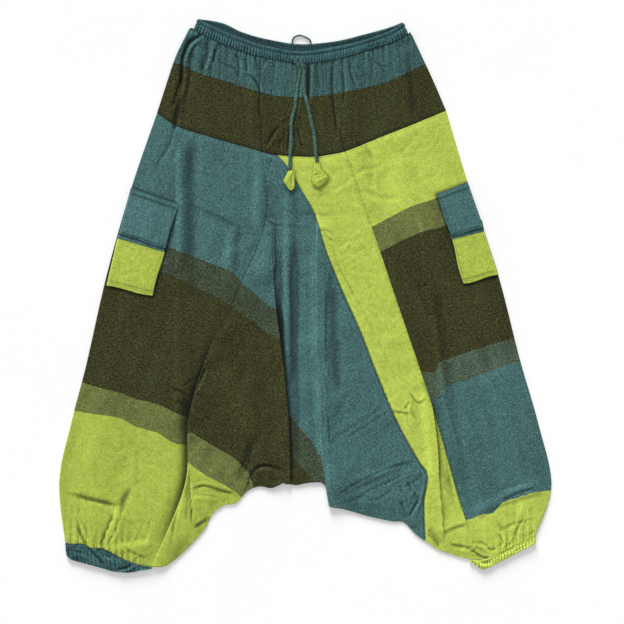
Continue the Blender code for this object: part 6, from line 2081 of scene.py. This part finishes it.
# ---- stitches
@dataclass(frozen=True)
class Stitching:
    """Rows of sewing stitches, each a short rounded bar sunk at both ends."""

    wardrobe: Wardrobe
    pitch: float = 3.1
    fill: float = 0.66          # share of the pitch that shows as thread
    radius: float = 0.30
    arch: float = 0.35          # how high its middle stands over its ends
    sunk: float = 0.2           # how far its ends go on into the cloth
    around: int = 5
    rings: int = 4

    def bars(self, row: Array) -> tuple[Array, Array]:
        """Stitches along one row.

        Along each stitch its radius is the root of a sine, and it arches over the cloth by
        the same sine.

        Args:
            row: Corners (x, y, z) of the row, mm.

        Returns:
            Points and faces.
        """
        run = travelled(row[:, :2])
        count = max(int(run[-1] / self.pitch), 1)
        t = np.linspace(0, 1, self.rings + 2)[1:-1]
        place = ((np.arange(count) + 0.15) * run[-1] / count)[:, None] + t * self.pitch * self.fill
        middle = np.stack([np.interp(place, run, row[:, k]) for k in range(3)], axis=-1)
        ahead = middle[:, -1] - middle[:, 0]
        ahead /= np.linalg.norm(ahead, axis=1, keepdims=True)
        sideways = np.cross(ahead, (0.0, 0.0, 1.0))
        upward = np.cross(sideways, ahead)
        angle = np.linspace(0, 2 * math.pi, self.around, endpoint=False)[:, None]
        size = (self.radius * np.sqrt(np.sin(math.pi * t)))[:, None, None]
        ring = (sideways[:, None, None] * np.cos(angle) + upward[:, None, None] * np.sin(angle)) * size
        arch = upward[:, None] * (self.arch * np.sin(math.pi * t) - 0.12)[:, None]
        ends = np.stack([middle[:, 0] - ahead * self.sunk, middle[:, -1] + ahead * self.sunk], axis=1)
        ends -= upward[:, None] * self.sunk
        rings = (middle + arch)[:, :, None] + ring
        points = np.concatenate([rings.reshape(count, -1, 3), ends], axis=1)
        faces = tube_faces(self.rings * self.around, self.around)
        faces = faces + points.shape[1] * np.arange(count)[:, None, None]
        return points.reshape(-1, 3), faces.reshape(-1, 4)

    def piece(self, name: str, rows: list[Array], finish: ThreadFinish, slot: str) -> None:
        """Join rows of stitches into one piece.

        Args:
            name: The piece's name.
            rows: Each row's corners (x, y, z).
            finish: The thread.
            slot: Its material slot.
        """
        points, faces = zip(*(self.bars(row) for row in rows))
        starts = np.cumsum([0] + [len(some) for some in points])
        faces = [some + start for some, start in zip(faces, starts)]
        self.wardrobe.solid(name, np.concatenate(points), np.concatenate(faces), finish, slot)

    def on_front(self, points: Points, x: float, y: float) -> Array:
        """A row on the front cloth, along a curve moved by x and y, mm."""
        return raised(resampled(np.array(points) + (x, y), 14), FRONT.height) - (0, 0, (LAYER - WALL) / 2)

    def straight(self, start: Array, end: Array, part: PocketPart, steps: int = 39) -> Array:
        """A straight row on a part of a pocket."""
        line = start + (end - start) * np.linspace(0, 1, steps + 1)[:, None]
        return raised(line, FRONT.height) + (0, 0, part.lift + LAYER + 0.25)

    def build(self) -> None:
        """Make the stitches of the yoke, the seams and the pockets."""
        yoke = [self.on_front(YOKE_SEAM, 0, away) for away in (3.2, 6.6)]
        yoke += [self.on_front(YOKE_RIGHT["seam"], -2.6, 0), self.on_front(YOKE_LEFT["seam"], 2.6, 0)]
        self.piece("yoke_stitches", yoke, DARK_THREAD, "striped_cotton")
        for name, seam, away in (("diagonal_stitches", DIAGONAL_SEAM, (-2.4, -0.8)),
                                 ("leg_stitches", LEFT_SIDE["front_seam"][2:6], (2.4, 0.9))):
            self.piece(name, [self.on_front(seam, *away)], TEAL_THREAD, "striped_cotton")
        flaps, bags = [], []
        for side, outward in (("right", -1), ("left", 1)):
            flap, bag = (np.array(POCKETS[side][kind], float) for kind in ("flap", "bag"))
            into = np.array([-outward * 3.0, 0.0])
            down = (flap[2] - flap[1]) / np.linalg.norm(flap[2] - flap[1])
            rim, edge = into * 1.6, into * 0.8
            flaps += [self.straight(flap[0] + down * 9 + rim, flap[1] + down * 9, FLAP),
                      self.straight(flap[1] - edge, flap[2] - edge - down * 2, FLAP),
                      self.straight(flap[3] - down * 3 + rim, flap[2] - down * 3, FLAP)]
            bags += [self.straight(bag[3] - down * 8.5 + rim, bag[2] - down * 8.5, BAG),
                     self.straight(bag[1] - edge, bag[2] - edge, BAG)]
        self.piece("flap_stitches", flaps, TEAL_THREAD, "teal_cotton")
        self.piece("bag_stitches", bags, LIME_THREAD, "lime_cotton")


# ---- main
def main() -> None:
    """Build the garment from the waist down."""
    logging.basicConfig(level=logging.INFO, format="%(message)s")
    Studio().build()
    wardrobe = Wardrobe()
    Drawstring(wardrobe).build()
    Casing(wardrobe, "waistband_casing", "waistband", "teal_cotton", CASING_FINISH,
           (BAND_FRONT_TOP, BAND_FRONT_BOTTOM, BAND_BACK_TOP, BAND_BACK_BOTTOM), 6.4, 2.6, 92,
           Cut(0.69, 0.030, None, "gathered"), BAND_PROFILE).build()
    for side, top, bottom, slot, finish, wander, cut in (
            ("right", CUFF_RIGHT_TOP, CUFF_RIGHT_BOTTOM, "teal_cotton", CUFF_TEAL_FINISH, 2.5, (0.25, 0.030)),
            ("left", CUFF_LEFT_TOP, CUFF_LEFT_BOTTOM, "lime_cotton", CUFF_LIME_FINISH, 0.8, (0.15, 0.025))):
        top = [(x, y - BAND_GAP) for x, y in top]
        Casing(wardrobe, f"cuff_{side}_casing", f"cuff_{side}", slot, finish, (top, bottom, top, bottom),
               5.2, 2.0, 26, Cut(*cut, None, "gathered"), CUFF_PROFILE, rib_depth=0.42,
               unevenness=0.9, crumple=0.8, wander=wander, folds=CUFF_FOLDS[side]).build()
    HangLoop(wardrobe).build()
    Yoke(wardrobe, Cut(0.42, 0.14), Cut(0.18, 0.14), Cut(0.165, 0.155)).build()
    SidePanel(wardrobe, "right", Cut(0.62, 0.86, 0.332)).build()
    SidePanel(wardrobe, "left", Cut(0.50, 0.86, 0.270)).build()
    CentrePanel(wardrobe, Cut(0.55, 0.75, 0.235)).build()
    BackPanel(wardrobe, Cut(0.55, 0.75, 0.206)).build()
    Pocket(wardrobe, "right", -1, (Cut(0.088, 0.080), Cut(0.086, 0.022), Cut(0.090, 0.080))).build()
    Pocket(wardrobe, "left", 1, (Cut(0.063, 0.078), Cut(0.058, 0.021), Cut(0.061, 0.078))).build()
    Stitching(wardrobe).build()


if __name__ == "__main__":
    main()
